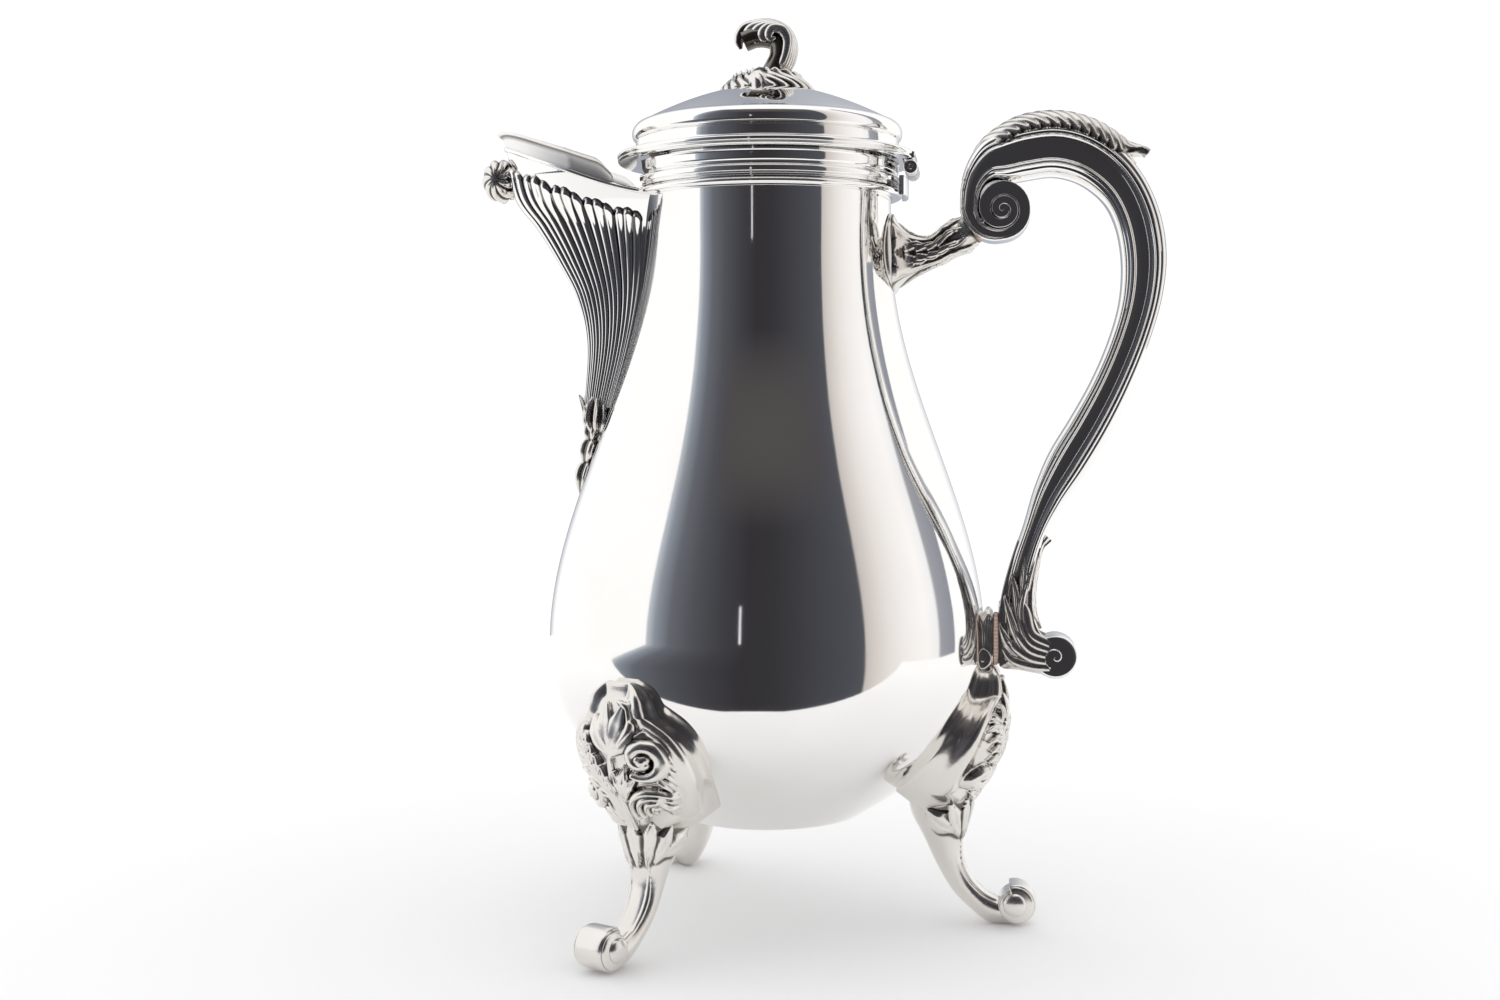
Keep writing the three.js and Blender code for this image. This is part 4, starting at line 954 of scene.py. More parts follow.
def make_tail(outer, inner):
    """Scroll, acanthus fronds and free leaf at the grip's lower end."""
    centre = back(31.7, 80.5)
    top = set_back([(38.6, 97), (37.9, 91), (36.4, 87.6), (34.4, 85.9), (32.6, 86.4), (30.4, 86.6)])
    low = set_back([(48.2, 96), (48.5, 89), (48.5, 82), (47.8, 77.0), (42, 76.0), (33, 74.4)])
    points = band_grid(spline(top, 50), spline(low, 50), GRIP_HALF - 0.3, superellipse(44, 3.4))
    add_tube("handle_tail_body", points, "pot", "cast_silver", relief=np.full(points.shape[:2], 0.55),
             sharp=50)
    scroll_disc("handle_tail_scroll", centre, 6.4, GRIP_HALF + 0.2, 1.9, -1, 2.0, "pot", "polished_silver")
    strokes = [stroke([(1, 3), (10, 1.6), (22, 3.0)], (1.6, 1.9, 0.4), 1.3, veins=3),
               stroke([(0, 1.0), (9, -1.2), (15, -3.6)], (1.4, 1.8, 0.4), 1.2, veins=3),
               stroke([(5, 1.4), (14, 0.2), (20.5, -2.6)], (1.2, 1.7, 0.4), 1.1, veins=3),
               stroke([(12, 1.8), (19, 1.2), (26.5, -0.6)], (1.0, 1.6, 0.4), 1.1, veins=3),
               stroke([(0, -1.2), (4.6, -3.2), (9, -5)], (1.4, 1.8, 0.4), 1.1, veins=3),
               stroke([(16, 2.8), (24, 2.4), (30, 1.0)], (0.9, 1.4, 0.3), 1.0, veins=3)]
    for side, label in ((-1, "near"), (1, "far")):
        frond(f"handle_tail_fronds_{label}", outer, inner, side, 84, 113, strokes)
        for k in range(5):
            rise = k * 2.9
            path = [back(33.4, 77.4 + k * 1.7), back(38.6, 77.8 + rise * 0.8),
                    back(44.2 - k * 0.9, 79.6 + rise * 1.25), back(46.9 - k * 0.8, 82.8 + rise * 1.5)]
            rib_tube(f"handle_tail_rib_{label}_{k + 1}", path, side * (GRIP_HALF - 0.7), (1.5, 1.7, 1.5, 0.5),
                     side)
    edge = outer[(outer[:, 1] > 88) & (outer[:, 1] < 109)][::-1]
    rail = spline(np.vstack([edge[::8] + np.array([0.7, 0]), [back(35.6, 112.0)], [back(33.2, 114.6)]]), 90)
    out = -left_of(rail)
    share = np.linspace(0, 1, 90)
    q = np.linspace(-1, 1, 50)
    reach = 5.4 * (1 - 0.75 * smoothstep(share, 0.55, 1.0)) * smoothstep(share, -0.2, 0.15)
    bow = out[:, None] * (-1.6 * q[None] ** 2)[..., None]
    centre_line = rail[:, None] + bow
    surface = np.stack([centre_line[..., 0], q[None] * reach[:, None], centre_line[..., 1]], -1)[:, ::-1]
    flat = np.stack([share[:, None] * 27 + 0 * q, q[None] * 5.4 + 0 * share[:, None]], -1)[:, ::-1]
    leaf = [stroke([(0, 0), (14, 0), (27, 0)], (1.4, 1.2, 0.5), 1.0, veins=1)]
    for i in range(6):
        for side in (-1, 1):
            leaf.append(stroke([(2 + 3.6 * i, side * 0.5), (5 + 3.6 * i, side * 2.8),
                                (9 + 3.6 * i, side * 4.6)],
                               (0.5, 1.3, 0.3), 0.8, veins=1))
    carved_sheet("handle_tail_leaf_free", surface, flat, leaf, "pot", "cast_silver", ["handle_tail_leaf"],
                 0.8)


def rib_tube(name, path, y, widths, side, squash=0.75):
    """A tapering rounded rib laid on one flank of the handle."""
    line = spline(path, 40)
    width = np.interp(np.linspace(0, 1, 40), np.linspace(0, 1, len(widths)), widths)
    across = left_of(line)
    angle = circle(20)
    flat = line[:, None] + across[:, None] * (width[:, None] * np.cos(angle))[..., None]
    depth = y + width[:, None] * np.sin(angle) * squash
    points = np.stack([flat[..., 0], depth, flat[..., 1]], -1)
    # painted highlight on the outward face of each rib, painted shade on the faces turned in
    outward = np.clip(np.sin(angle) * side, 0, 1)
    relief = np.broadcast_to(0.25 + 0.75 * smoothstep(outward, 0.1, 0.6), points.shape[:2])
    add_tube(name, points, "pot", "cast_silver", relief=relief, sharp=60)


UPPER_JOINT = np.array([GRIP_REACH - 57.1, 205.4])
UPPER_FACING = np.array([0.839, 0.545])
JOINT_HALF = 4.6
SOCKET_HALF = 5.5
LOWER_JOINT_X = BELLY_RADIUS + 2.4
LOWER_LOW, LOWER_HIGH = low_high("handle_lower_insulator", 2)


def make_upper_socket():
    """Cast arm from the neck plate to the grip's joint."""
    across = np.array([-UPPER_FACING[1], UPPER_FACING[0]])
    face = UPPER_JOINT - UPPER_FACING * 0.1
    root = NECK_RADIUS + 0.8
    top = spline([(root, 210.6), (root + 2.6, 207.0), (root + 6.6, 204.2), (root + 10.6, 203.6),
                  (root + 14.6, 206.4), (root + 18, 208.6), tuple(face + across * (JOINT_HALF + 0.4))], 80)
    low = spline([(root, 186.6), (root + 4.4, 190.6), (root + 9.4, 193.6), (root + 14, 195.6),
                  (root + 18.6, 198.2), (root + 22.6, 199.6), tuple(face - across * (JOINT_HALF + 0.4))], 80)
    share = np.linspace(0, 1, 80)
    half = 5.0 + 3.0 * (1 - smoothstep(share, 0, 0.3)) + 0.9 * np.exp(-((share - 0.72) / 0.16) ** 2)
    base = band_grid(top, low, half, superellipse(120, 2.3))
    middle = (top + low) / 2
    length = arc_length(middle)
    angle = circle(120)
    v = (np.abs(((angle - math.pi / 2) % TAU) - math.pi) / math.pi - 0.5) * 20
    flat = np.stack([length[:, None] + 0 * angle, v + 0 * length[:, None]], -1)
    strokes = [
        stroke([(0, -6.5), (9, -4.6), (17, -3.6), (24, -3)], (1.6, 1.5, 1.3, 0.8), 1.1, veins=1),
        stroke([(0, 5.6), (6, 4), (12, 4.6), (20, 6)], (1.8, 1.6, 1.4, 0.6), 1.0, veins=1),
        stroke([(13, 0.4), (17, 2.2), (21.4, 0.8), (19.5, -1.6), (16, -0.6)], (1.0, 1.5, 1.6, 1.3, 0.7), 1.3),
        stroke([(21, -2.6), (24.5, 0), (24, 4)], (0.9, 1.4, 0.6), 1.0)]
    for i in range(5):
        strokes.append(stroke([(1.5 + 3.1 * i, 3.2 - 1.2 * i), (4.4 + 3.1 * i, 0.9 - 1.0 * i),
                               (9.0 + 2.9 * i, 0.6 - 0.7 * i)], (0.7, 1.9, 0.4), 1.2, veins=2))
        strokes.append(stroke([(0.5 + 3.4 * i, 8.2), (4.6 + 3.4 * i, 6.6), (8.4 + 3.4 * i, 7.6)],
                              (0.8, 1.6, 0.4), 1.0, veins=2))
        strokes.append(stroke([(0.5 + 3.4 * i, -9.2), (4.6 + 3.4 * i, -7.4), (8.4 + 3.4 * i, -8.4)],
                              (0.8, 1.6, 0.4), 1.0, veins=2))
    height, relief = carve(flat, strokes)
    centre = np.stack([middle[:, 0], 0 * share, middle[:, 1]], -1)[:, None]
    radial = units(base - centre)
    fade = smoothstep(share, 0.0, 0.08) * (1 - smoothstep(share, 0.9, 0.99))
    points = base + radial * ((height - 0.5) * fade[:, None])[..., None]
    add_tube("handle_upper_arm", points, "pot", "cast_silver", ["handle_upper_socket"], relief, sharp=60)


def make_neck_plate():
    """Oval plate that seats the upper arm on the neck."""
    plate_low, plate_high = low_high("handle_upper_plate", 2)
    middle_z, half_z = (plate_low + plate_high) / 2, (plate_high - plate_low) / 2 + 0.6
    r, a = crossed(np.linspace(0, 1, 30), circle(90))
    y = 9.0 * r * np.cos(a)
    z = middle_z + half_z * r * np.sin(a)
    bulge = 1.5 * np.clip(1 - r ** 6, 0, 1) ** 0.5 + 0.5 * np.exp(-((r - 0.84) / 0.06) ** 2)
    bulge -= 0.35 * np.exp(-((r - 0.72) / 0.04) ** 2)
    radius = body_radius(z) + 0.05 + bulge
    front = np.stack([np.sqrt(np.maximum(radius ** 2 - y ** 2, 0)), y, z], -1)
    radius = body_radius(z) - 0.2
    rear = np.stack([np.sqrt(np.maximum(radius ** 2 - y ** 2, 0)), y, z], -1)[::-1]
    points = np.vstack([front, rear])
    add_tube("handle_neck_plate", points, "pot", "cast_silver", ["handle_upper_plate"], sharp=50)


def slab(name, centre, along, thickness, half_height, half_width, slot, nodes, bevel=0.35):
    """A thin rounded plate in the handle's plane, thick along one direction."""
    along = np.asarray(along, float)
    across = np.array([-along[1], along[0]])
    depth, width = superellipse(72, 5)
    shares = [(-0.5, 0.9), (-0.5 + bevel / thickness, 1), (0.5 - bevel / thickness, 1), (0.5, 0.9)]
    rings = []
    for offset, scale in [(shares[0][0], 0.001)] + shares + [(shares[-1][0], 0.001)]:
        flat = np.asarray(centre) + along * offset * thickness
        flat = flat + across * (depth * half_height * scale)[:, None]
        rings.append(np.stack([flat[:, 0], width * half_width * scale, flat[:, 1]], -1))
    points = np.array(rings)
    add_tube(name, points, "pot", slot, nodes, sharp=40)


def make_joints():
    """Heat insulators at both ends of the grip, the lower socket, and the cross rivets."""
    gap, thickness = 0.05, 1.7
    middle = UPPER_JOINT + UPPER_FACING * (gap + thickness / 2)
    slab("handle_upper_insulator_disc", middle, UPPER_FACING, thickness, JOINT_HALF - 0.2, SOCKET_HALF - 0.2,
         "insulator", ["handle_upper_insulator"])
    middle_z, half_z = (LOWER_LOW + LOWER_HIGH) / 2, (LOWER_HIGH - LOWER_LOW) / 2
    slab("handle_lower_insulator_disc", (LOWER_JOINT_X + 0.85, middle_z), (1, 0), 1.7, half_z - 0.2,
         GRIP_HALF - 0.4, "insulator", ["handle_lower_insulator"])

    face = LOWER_JOINT_X
    top = spline([(face, middle_z + half_z + 0.5), (face - 1.4, middle_z + half_z + 1.5),
                  (face - 3.6, middle_z + half_z - 1.5), (face - 6.6, middle_z + 3.4)], 40)
    low = spline([(face, middle_z - half_z), (face - 2.2, middle_z - half_z - 1.7),
                  (face - 4.8, middle_z - half_z - 1.0), (face - 7, middle_z - 5.0)], 40)
    half = GRIP_HALF * (1 - 0.1 * np.linspace(0, 1, 40))
    points = band_grid(top, low, half, superellipse(60, 4))
    add_tube("handle_lower_bracket", points, "pot", "cast_silver", ["handle_lower_socket"], sharp=50)
    scroll_disc("handle_lower_bracket_volute", (face - 3.6, middle_z - 5.4), 3.4, GRIP_HALF + 0.9, 1.2, -1,
                0.4, "pot", "cast_silver", swell=0.5)
    for side, label in ((-1, "near"), (1, "far")):
        for k in range(3):
            x = face - 0.9 - 1.5 * k
            path = [(x, middle_z + half_z - 1.0 - 1.2 * k), (x - 0.5, middle_z + 1.5),
                    (x + 0.2, middle_z - 4.5)]
            rib_tube(f"handle_lower_rib_{label}_{k + 1}", path, side * (GRIP_HALF - 0.7), (0.5, 0.9, 0.6),
                     side)
    add_bar("handle_upper_socket_pin", "handle_upper_socket_rivet", RIVET_RADIUS, SOCKET_HALF + 0.35, "pot")
    add_bar("handle_upper_grip_pin", "handle_upper_grip_rivet", RIVET_RADIUS, GRIP_HALF + 0.1, "pot")
    add_bar("handle_lower_grip_pin", "handle_lower_grip_rivet", RIVET_RADIUS, GRIP_HALF + 0.1, "pot")


def make_handle():
    outer, inner = make_grip()
    make_thumb_leaf(outer)
    make_tail(outer, inner)
    make_upper_socket()
    make_neck_plate()
    make_joints()


# ------------------------------------------------------------------ shields and legs
LEG_COUNT = 3
LEG_SIDES = ("handle", "far", "near")
SHIELD_TOP, SHIELD_FOOT = 78.6, 31.5
FOOT_RADIUS = BELLY_RADIUS + 4
GROUND_GAP = 0.02
STROKE_SWELL = 1.14  # widens the cartouche's ornament until little ground shows


def shield_outline(z):
    """Half-width of the shield at a height: top lobe, notch, scrolled shoulders, waist into the leg."""
    heights = [31.5, 33.5, 37, 42, 48, 54, 59, 63.5, 66.6, 68.6, 71, 74, 76.4, 78, 78.6]
    widths = [4.6, 6.6, 9.8, 14.4, 17.8, 19.4, 19.2, 17.0, 13.4, 10.6, 9.7, 8.8, 6.6, 3.4, 0.2]
    line = spline(list(zip(heights, widths)), 240)
    return read_off(line, z)


def shield_seat(z):
    """What the shield's rim rests on: the body, and lower down the leg's inner edge."""
    gusset = spline([(31.4, 53.5), (34, 49.6), (37.5, 45.4), (41, 42.6), (45, 39)], 60)
    return np.maximum(body_radius(z), np.interp(z, gusset[:, 0], gusset[:, 1], right=0))


def shield_front(z):
    """Distance of the shield's front from the axis."""
    line = spline([(31.5, 60.6), (36, 60.9), (39.7, 62.9), (47.3, 67.2), (53.4, 70.2), (61, 71.6),
                   (69.8, 71.2), (74.2, 69.8), (77, 67.6), (78.6, 65.2)], 120)
    return read_off(line, z)


def lobe_fan(foot, centre_angle, spread, count, length, width, height, veins=2, bend=0.0):
    """Lobes fanning out of one point; angles are in degrees from straight up, clockwise positive."""
    lobes = []
    for k in range(count):
        off = (k / max(count - 1, 1) - 0.5) * 2
        angle = math.radians(centre_angle + spread * off)
        reach = length * (1 - 0.22 * abs(off))
        bow = math.radians(bend) * (off if count > 1 else 1)
        middle = (foot[0] + 0.5 * reach * math.sin(angle - bow),
                  foot[1] + 0.5 * reach * math.cos(angle - bow))
        tip = (foot[0] + reach * math.sin(angle), foot[1] + reach * math.cos(angle))
        lobes.append(stroke([foot, middle, tip], (width * 0.5, width, width * 1.08, width * 0.35), height,
                            veins))
    return lobes


def shield_strokes():
    """The cartouche's ornament: flat coordinates are mm across (towards the pot's right) and mm up."""
    strokes = [stroke([(0.6, 33), (0.2, 42), (0.0, 52), (0.6, 62)], (1.4, 1.5, 1.1, 0.7), 2.0, veins=1)]
    strokes += lobe_fan((0.4, 59.5), 4, 34, 4, 14.0, 2.5, 2.3, veins=1, bend=-10)
    strokes.append(stroke([(3.6, 62), (6.4, 66.5), (5.4, 72), (2.6, 73.4)], (0.8, 1.3, 1.2, 0.6), 2.2))
    # big scroll on the right, with its eye and trailing fronds
    strokes.append(stroke(spiral((9.6, 58.6), 1.3, 5.4, -1.2, -1.15, 30)[::-1], (0.9, 1.6, 2.0, 1.9, 1.5),
                          3.2, count=44))
    strokes.append(stroke([(9.0, 58.8), (9.6, 58.5), (10.2, 58.8)], (1.5, 1.9, 1.5), 3.4))
    strokes.append(stroke([(6.8, 63.4), (11.5, 65.2), (15.4, 61.6), (17.2, 55.4), (17.0, 49.4)],
                          (0.6, 1.8, 1.9, 1.5, 0.6), 2.4, veins=1))
    strokes += [stroke([(12.4, 60.6), (15.2, 58.6), (16.4, 55.2)], (0.7, 1.6, 0.5), 2.9, veins=2),
                stroke([(12.6, 57.6), (14.6, 54.8), (15.6, 50.6)], (0.7, 1.7, 0.5), 2.7, veins=2),
                stroke([(10.4, 54.6), (13.0, 52.2), (14.4, 48.0)], (0.8, 1.6, 0.5), 2.4, veins=2)]
    # palmette beside the stem
    strokes += lobe_fan((2.0, 46.8), 16, 22, 3, 9.6, 1.7, 2.6, veins=2, bend=12)
    # rocaille scroll below it, in concentric arcs
    for k, radius in enumerate((6.2, 4.6, 3.0, 1.5)):
        arc = [(9.4 + radius * math.cos(a), 43.4 + radius * math.sin(a)) for a in np.linspace(3.5, -0.7, 12)]
        strokes.append(stroke(arc, (0.5, 0.95, 0.9, 0.5), 2.9 - 0.25 * k))
    strokes.append(stroke(spiral((12.6, 46.4), 0.6, 2.7, 2.4, -1.2), (0.8, 1.1, 0.8), 2.9))
    # acanthus on the left: serrated lobes off a bowed rib, and a bud that curls in
    strokes.append(stroke([(-0.4, 41), (-3.2, 50), (-8.4, 58), (-12.4, 66)], (1.5, 1.6, 1.4, 0.4), 2.2,
                          veins=1))
    for k in range(6):
        t = k / 5
        root = (-1.6 - 8.6 * t, 46 + 15.5 * t)
        strokes.append(stroke([root, (root[0] - 3.6, root[1] + 2.2), (root[0] - 6.6, root[1] + 1.2)],
                              (0.7, 1.8, 0.4), 2.1, veins=2))
        strokes.append(stroke([root, (root[0] + 1.0, root[1] + 4.2), (root[0] - 0.6, root[1] + 7.4)],
                              (0.6, 1.6, 0.4), 2.3, veins=2))
    strokes.append(stroke(spiral((-8.8, 46.6), 0.8, 3.9, 0.4, 1.1, 26)[::-1], (0.7, 1.5, 1.7, 1.3), 2.8,
                          count=36))
    strokes.append(stroke([(-9.3, 46.4), (-8.8, 46.7), (-8.3, 46.4)], (1.2, 1.6, 1.2), 3.1))
    strokes += lobe_fan((-1.2, 38.5), -48, 20, 3, 8.2, 1.6, 2.2, veins=2)
    return [(path, widths * STROKE_SWELL, top, veins) for path, widths, top, veins in strokes]


def shield_grid(rows=200, columns=230):
    """Surface of the bare shield on the handle's side, and its flat coordinates."""
    rise = np.linspace(0, 1, rows)
    z = SHIELD_FOOT + (SHIELD_TOP - SHIELD_FOOT) * (rise + 0.04 * np.sin(TAU * rise))
    q = np.sin(np.linspace(-1, 1, columns) * math.pi / 2 * 0.985)
    q = q / q[-1]
    z_grid, q_grid = crossed(z, q)
    half = shield_outline(z_grid)
    across = q_grid * half
    seat = shield_seat(z_grid)
    depth = (shield_front(z_grid) - seat) * (1 - np.abs(q_grid) ** 3.2) ** 0.62
    depth *= np.clip((SHIELD_TOP - z_grid) / 4.5, 0, 1) ** 0.5
    sunk = -0.25
    radius = seat + np.maximum(depth, sunk)
    angle = across / np.maximum((seat + radius) / 2, 20)
    surface = np.stack([radius * np.cos(angle), radius * np.sin(angle), z_grid], -1)
    return surface, np.stack([across, z_grid], -1), half


def make_shields():
    surface, flat, half = shield_grid()
    height, relief = carve(flat, shield_strokes())
    from_edge = half - np.abs(flat[..., 0])
    from_top = SHIELD_TOP - flat[..., 1]
    from_foot = flat[..., 1] - SHIELD_FOOT
    edge = np.minimum(np.minimum(from_edge, from_top * 1.3), 99)
    border = np.exp(-((edge - 2.2) / 1.35) ** 2) * smoothstep(from_foot, 6, 12)
    field = smoothstep(edge, 2.6, 5.2)
    carved = height * field
    total = np.maximum(carved, 1.9 * border) - 0.7 * field
    total *= smoothstep(edge, 0.0, 1.6) * smoothstep(from_foot, 0, 3)
    bright = np.where(carved >= 1.9 * border, relief * field + (1 - field), 1.0)
    top = surface - normals_of(surface) * total[..., None]
    inner = surface.copy()
    scale = (shield_seat(surface[..., 2]) - 0.25) / np.maximum(np.hypot(surface[..., 0], surface[..., 1]), 1)
    inner[..., :2] *= np.minimum(scale, 1)[..., None]
    faces = sheet_faces(*half.shape)
    for i, side in enumerate(LEG_SIDES):
        azimuth = TAU * i / LEG_COUNT
        points = [spun(top, azimuth), spun(inner, azimuth)]
        add_piece(f"foot_shield_{side}_cartouche", points, faces, "pot", "cast_silver",
                  [f"foot_shield_{side}"], [bright, np.ones_like(bright)], sharp=80)


def leg_grid(rows=150, columns=120):
    """The leg on the handle's side, from under the shield to the toe."""
    r = FOOT_RADIUS
    outer = spline([(r - 6.6, 42.0), (r - 7.9, 36.0), (r - 9.2, 30), (r - 10.1, 24), (r - 9.6, 19),
                    (r - 7.6, 14.4), (r - 4.0, 10.4), (r - 0.2, 8.2), (r + 2.4, 7.4)], rows)
    inner = spline([(r - 26.4, 38.5), (r - 25.6, 33.4), (r - 21.6, 25.4), (r - 17.6, 17.0), (r - 12.8, 9.2),
                    (r - 7.0, 3.6), (r - 3.0, 0.7), (r + 0.6, 0.05), (r + 4.4, 0.25)], rows)
    share = np.linspace(0, 1, rows)
    widths = spline([(0, 9.6), (0.12, 8.6), (0.3, 6.3), (0.5, 5.0), (0.75, 4.4), (1, 4.7)], rows)
    half = read_off(widths, share)
    angle = circle(columns)
    depth = np.sign(np.cos(angle)) * np.abs(np.cos(angle)) ** 0.86
    keel = 1 - 0.34 * smoothstep(-depth, 0.0, 1.0) * smoothstep(share, 0.05, 0.4)[:, None]
    width = (np.sign(np.sin(angle)) * np.abs(np.sin(angle)) ** 0.86)[None] * keel
    points = band_grid(outer, inner, half, (np.broadcast_to(depth, width.shape), width))
    length = arc_length((outer + inner) / 2)
    around = np.where(angle > math.pi, angle - TAU, angle)
    v = around[None] * (half[:, None] * 0.5 + 3.4)
    flat = np.stack([v, -length[:, None] + 0 * v], -1)
    return points, flat, share, angle


def carved_leg():
    """The leg with its bracts and ridges, and how bright each point is."""
    points, flat, share, angle = leg_grid()
    strokes = []
    for k, (foot, reach) in enumerate([(0, 15), (-4.6, 14), (4.6, 14), (-9, 12), (9, 12), (-13.6, 9),
                                       (13.6, 9)]):
        top = -3.2 - 0.9 * abs(k % 2)
        strokes.append(stroke([(foot * 0.62, top - reach), (foot * 0.9, top - reach * 0.5),
                               (foot * 1.12, top)],
                              (0.5, 2.2, 2.5, 0.7), 1.5, veins=3))
    for offset in (-4.8, 4.8):
        strokes.append(stroke([(offset * 0.7, -17), (offset * 0.8, -28), (offset * 0.7, -42)],
                              (0.3, 1.1, 1.0, 0.8), 0.55))
    height, relief = carve(flat, strokes)
    facing = smoothstep(np.cos(angle), -0.75, -0.2)[None]
    fade = smoothstep(share, 0, 0.03)[:, None] * (1 - smoothstep(share, 0.93, 1))[:, None]
    centre = points.mean(axis=1, keepdims=True)
    radial = units(points - centre)
    carved = points + radial * (height * facing * fade)[..., None]
    upper = 1 - smoothstep(share, 0.42, 0.55)[:, None]
    shade = np.where(height > 0.12, relief, np.maximum(relief, 1 - upper))
    shade = 1 - (1 - shade) * facing * np.maximum(upper, 0.25)
    # the lower leg painted darker towards its flanks, by up to 0.42
    flank = (1 - np.abs(np.cos(angle)))[None] * smoothstep(share, 0.3, 0.5)[:, None]
    shade = shade * (1 - 0.42 * flank)
    carved[..., 2] = np.maximum(carved[..., 2], GROUND_GAP)

    return carved, shade


def toe_castings():
    """The leg's rolled toe and the domed eye at either end of the roll."""
    toe_r, toe_z, toe_radius, toe_half = FOOT_RADIUS + 5.6, 6.5, 5.0, 5.9
    around, along = crossed(circle(90), np.linspace(-1, 1, 70))
    grow = 1.45 * ((around - 1.9) / TAU % 1)
    rounding = np.clip(1 - np.abs(along) ** 7, 0, 1) ** 0.5
    groove = 1 - 0.06 * np.exp(-((np.abs(along) - 0.82) / 0.04) ** 2)
    radius = (toe_radius + grow) * (0.55 + 0.45 * rounding) * groove
    radius = np.where(np.abs(along) > 0.999, 0.01, radius)
    roll = np.stack([toe_r + radius * np.cos(around), toe_half * along, toe_z + radius * np.sin(around)], -1)
    roll[..., 2] = np.maximum(roll[..., 2], GROUND_GAP)
    roll = np.swapaxes(roll, 0, 1)
    # painted shade in the groove near each end of the roll
    dark = 1 - 0.7 * np.exp(-((np.abs(along) - 0.82) / 0.05) ** 2)
    eye_profile = [(3.5 * math.cos(a), 1.7 * math.sin(a)) for a in np.linspace(-math.pi / 2, math.pi / 2, 24)]

    castings = [("toe_scroll", roll, np.swapaxes(dark, 0, 1), 60)]
    for end, label in ((-1, "left"), (1, "right")):
        eye = turned_about_y([(max(r, 0.005), y) for r, y in eye_profile], (toe_r - 0.3, toe_z + 0.4), 40)
        eye[..., 1] += end * (toe_half - 0.1)
        castings.append((f"toe_eye_{label}", eye, None, 60))
    return castings


def make_legs():
    """The same castings on each leg; only the leg itself stands for a CAD node."""
    castings = [("cast", *carved_leg(), 80)] + toe_castings()
    for i, side in enumerate(LEG_SIDES):
        for label, points, shade, sharp in castings:
            nodes = [f"leg_{side}"] if label == "cast" else ()
            add_tube(f"leg_{side}_{label}", spun(points, TAU * i / LEG_COUNT), "pot", "cast_silver", nodes,
                     shade, sharp)


# ------------------------------------------------------------------ finial and hinge
CREST_DRAWN_TOP = 269.0  # height of the crest's box for which its paths are drawn
STUD_TOP = 254.6  # inside the crest's core


def make_finial():
    top = low_high("finial_base", 2)[1]
    radius = low_high("finial_base", 1)[1]
    r, a = crossed(np.linspace(0, 1, 120), circle(360))
    share = r * radius
    seat = crown_height(np.clip(share / CROWN_RADIUS, 0, 1))
    mound = (top - DOME_TOP + 0.3) * np.clip(1 - r ** 2.2, 0, 1) ** 0.62
    ribs = 22
    swirl = 1.5 * r
    rib = np.abs(np.cos((a + swirl * np.sign(np.sin(a))) * ribs / 2))
    carve_depth = 0.5 * smoothstep(r, 0.18, 0.4)
    balls = np.zeros_like(r)
    for ball_angle in (math.radians(-97), math.radians(97)):
        along = share * np.cos(a - ball_angle)
        beside = share * np.sin(a - ball_angle)
        lobe = np.clip(1 - ((along - 9.6) / 6.0) ** 2 - (beside / 3.0) ** 2, 0, 1) ** 0.5
        balls = np.maximum(balls, lobe)
    arch = np.exp(-((r - 0.62 - 0.08 * np.cos(2 * a)) / 0.05) ** 2)
    height = mound * (1 - carve_depth + carve_depth * rib ** 0.7) + 0.9 * arch * smoothstep(rib, 0.2, 0.6)
    height = np.maximum(height, mound * 0.55 + 2.8 * balls)
    scallop = 1 - 0.05 * (1 - rib) * smoothstep(r, 0.8, 1)
    z = seat + height + 0.05
    points = np.stack([share * scallop * np.cos(a), share * scallop * np.sin(a), z], -1)
    rear = np.stack([points[..., 0], points[..., 1], seat - 0.15], -1)[::-1]
    # painted shade in the flutes between the ribs, painted highlight on the middle of the two balls
    relief = np.where(balls > 0.12, 0.55 + 0.45 * smoothstep(balls, 0.2, 0.6),
                      0.1 + 0.9 * smoothstep(rib, 0.42, 0.85))
    shade = np.vstack([relief, np.ones_like(relief)])
    grid = np.vstack([points, rear])
    add_tube("finial_base_shell", grid, "lid", "cast_silver", ["finial_base"], shade, sharp=80)


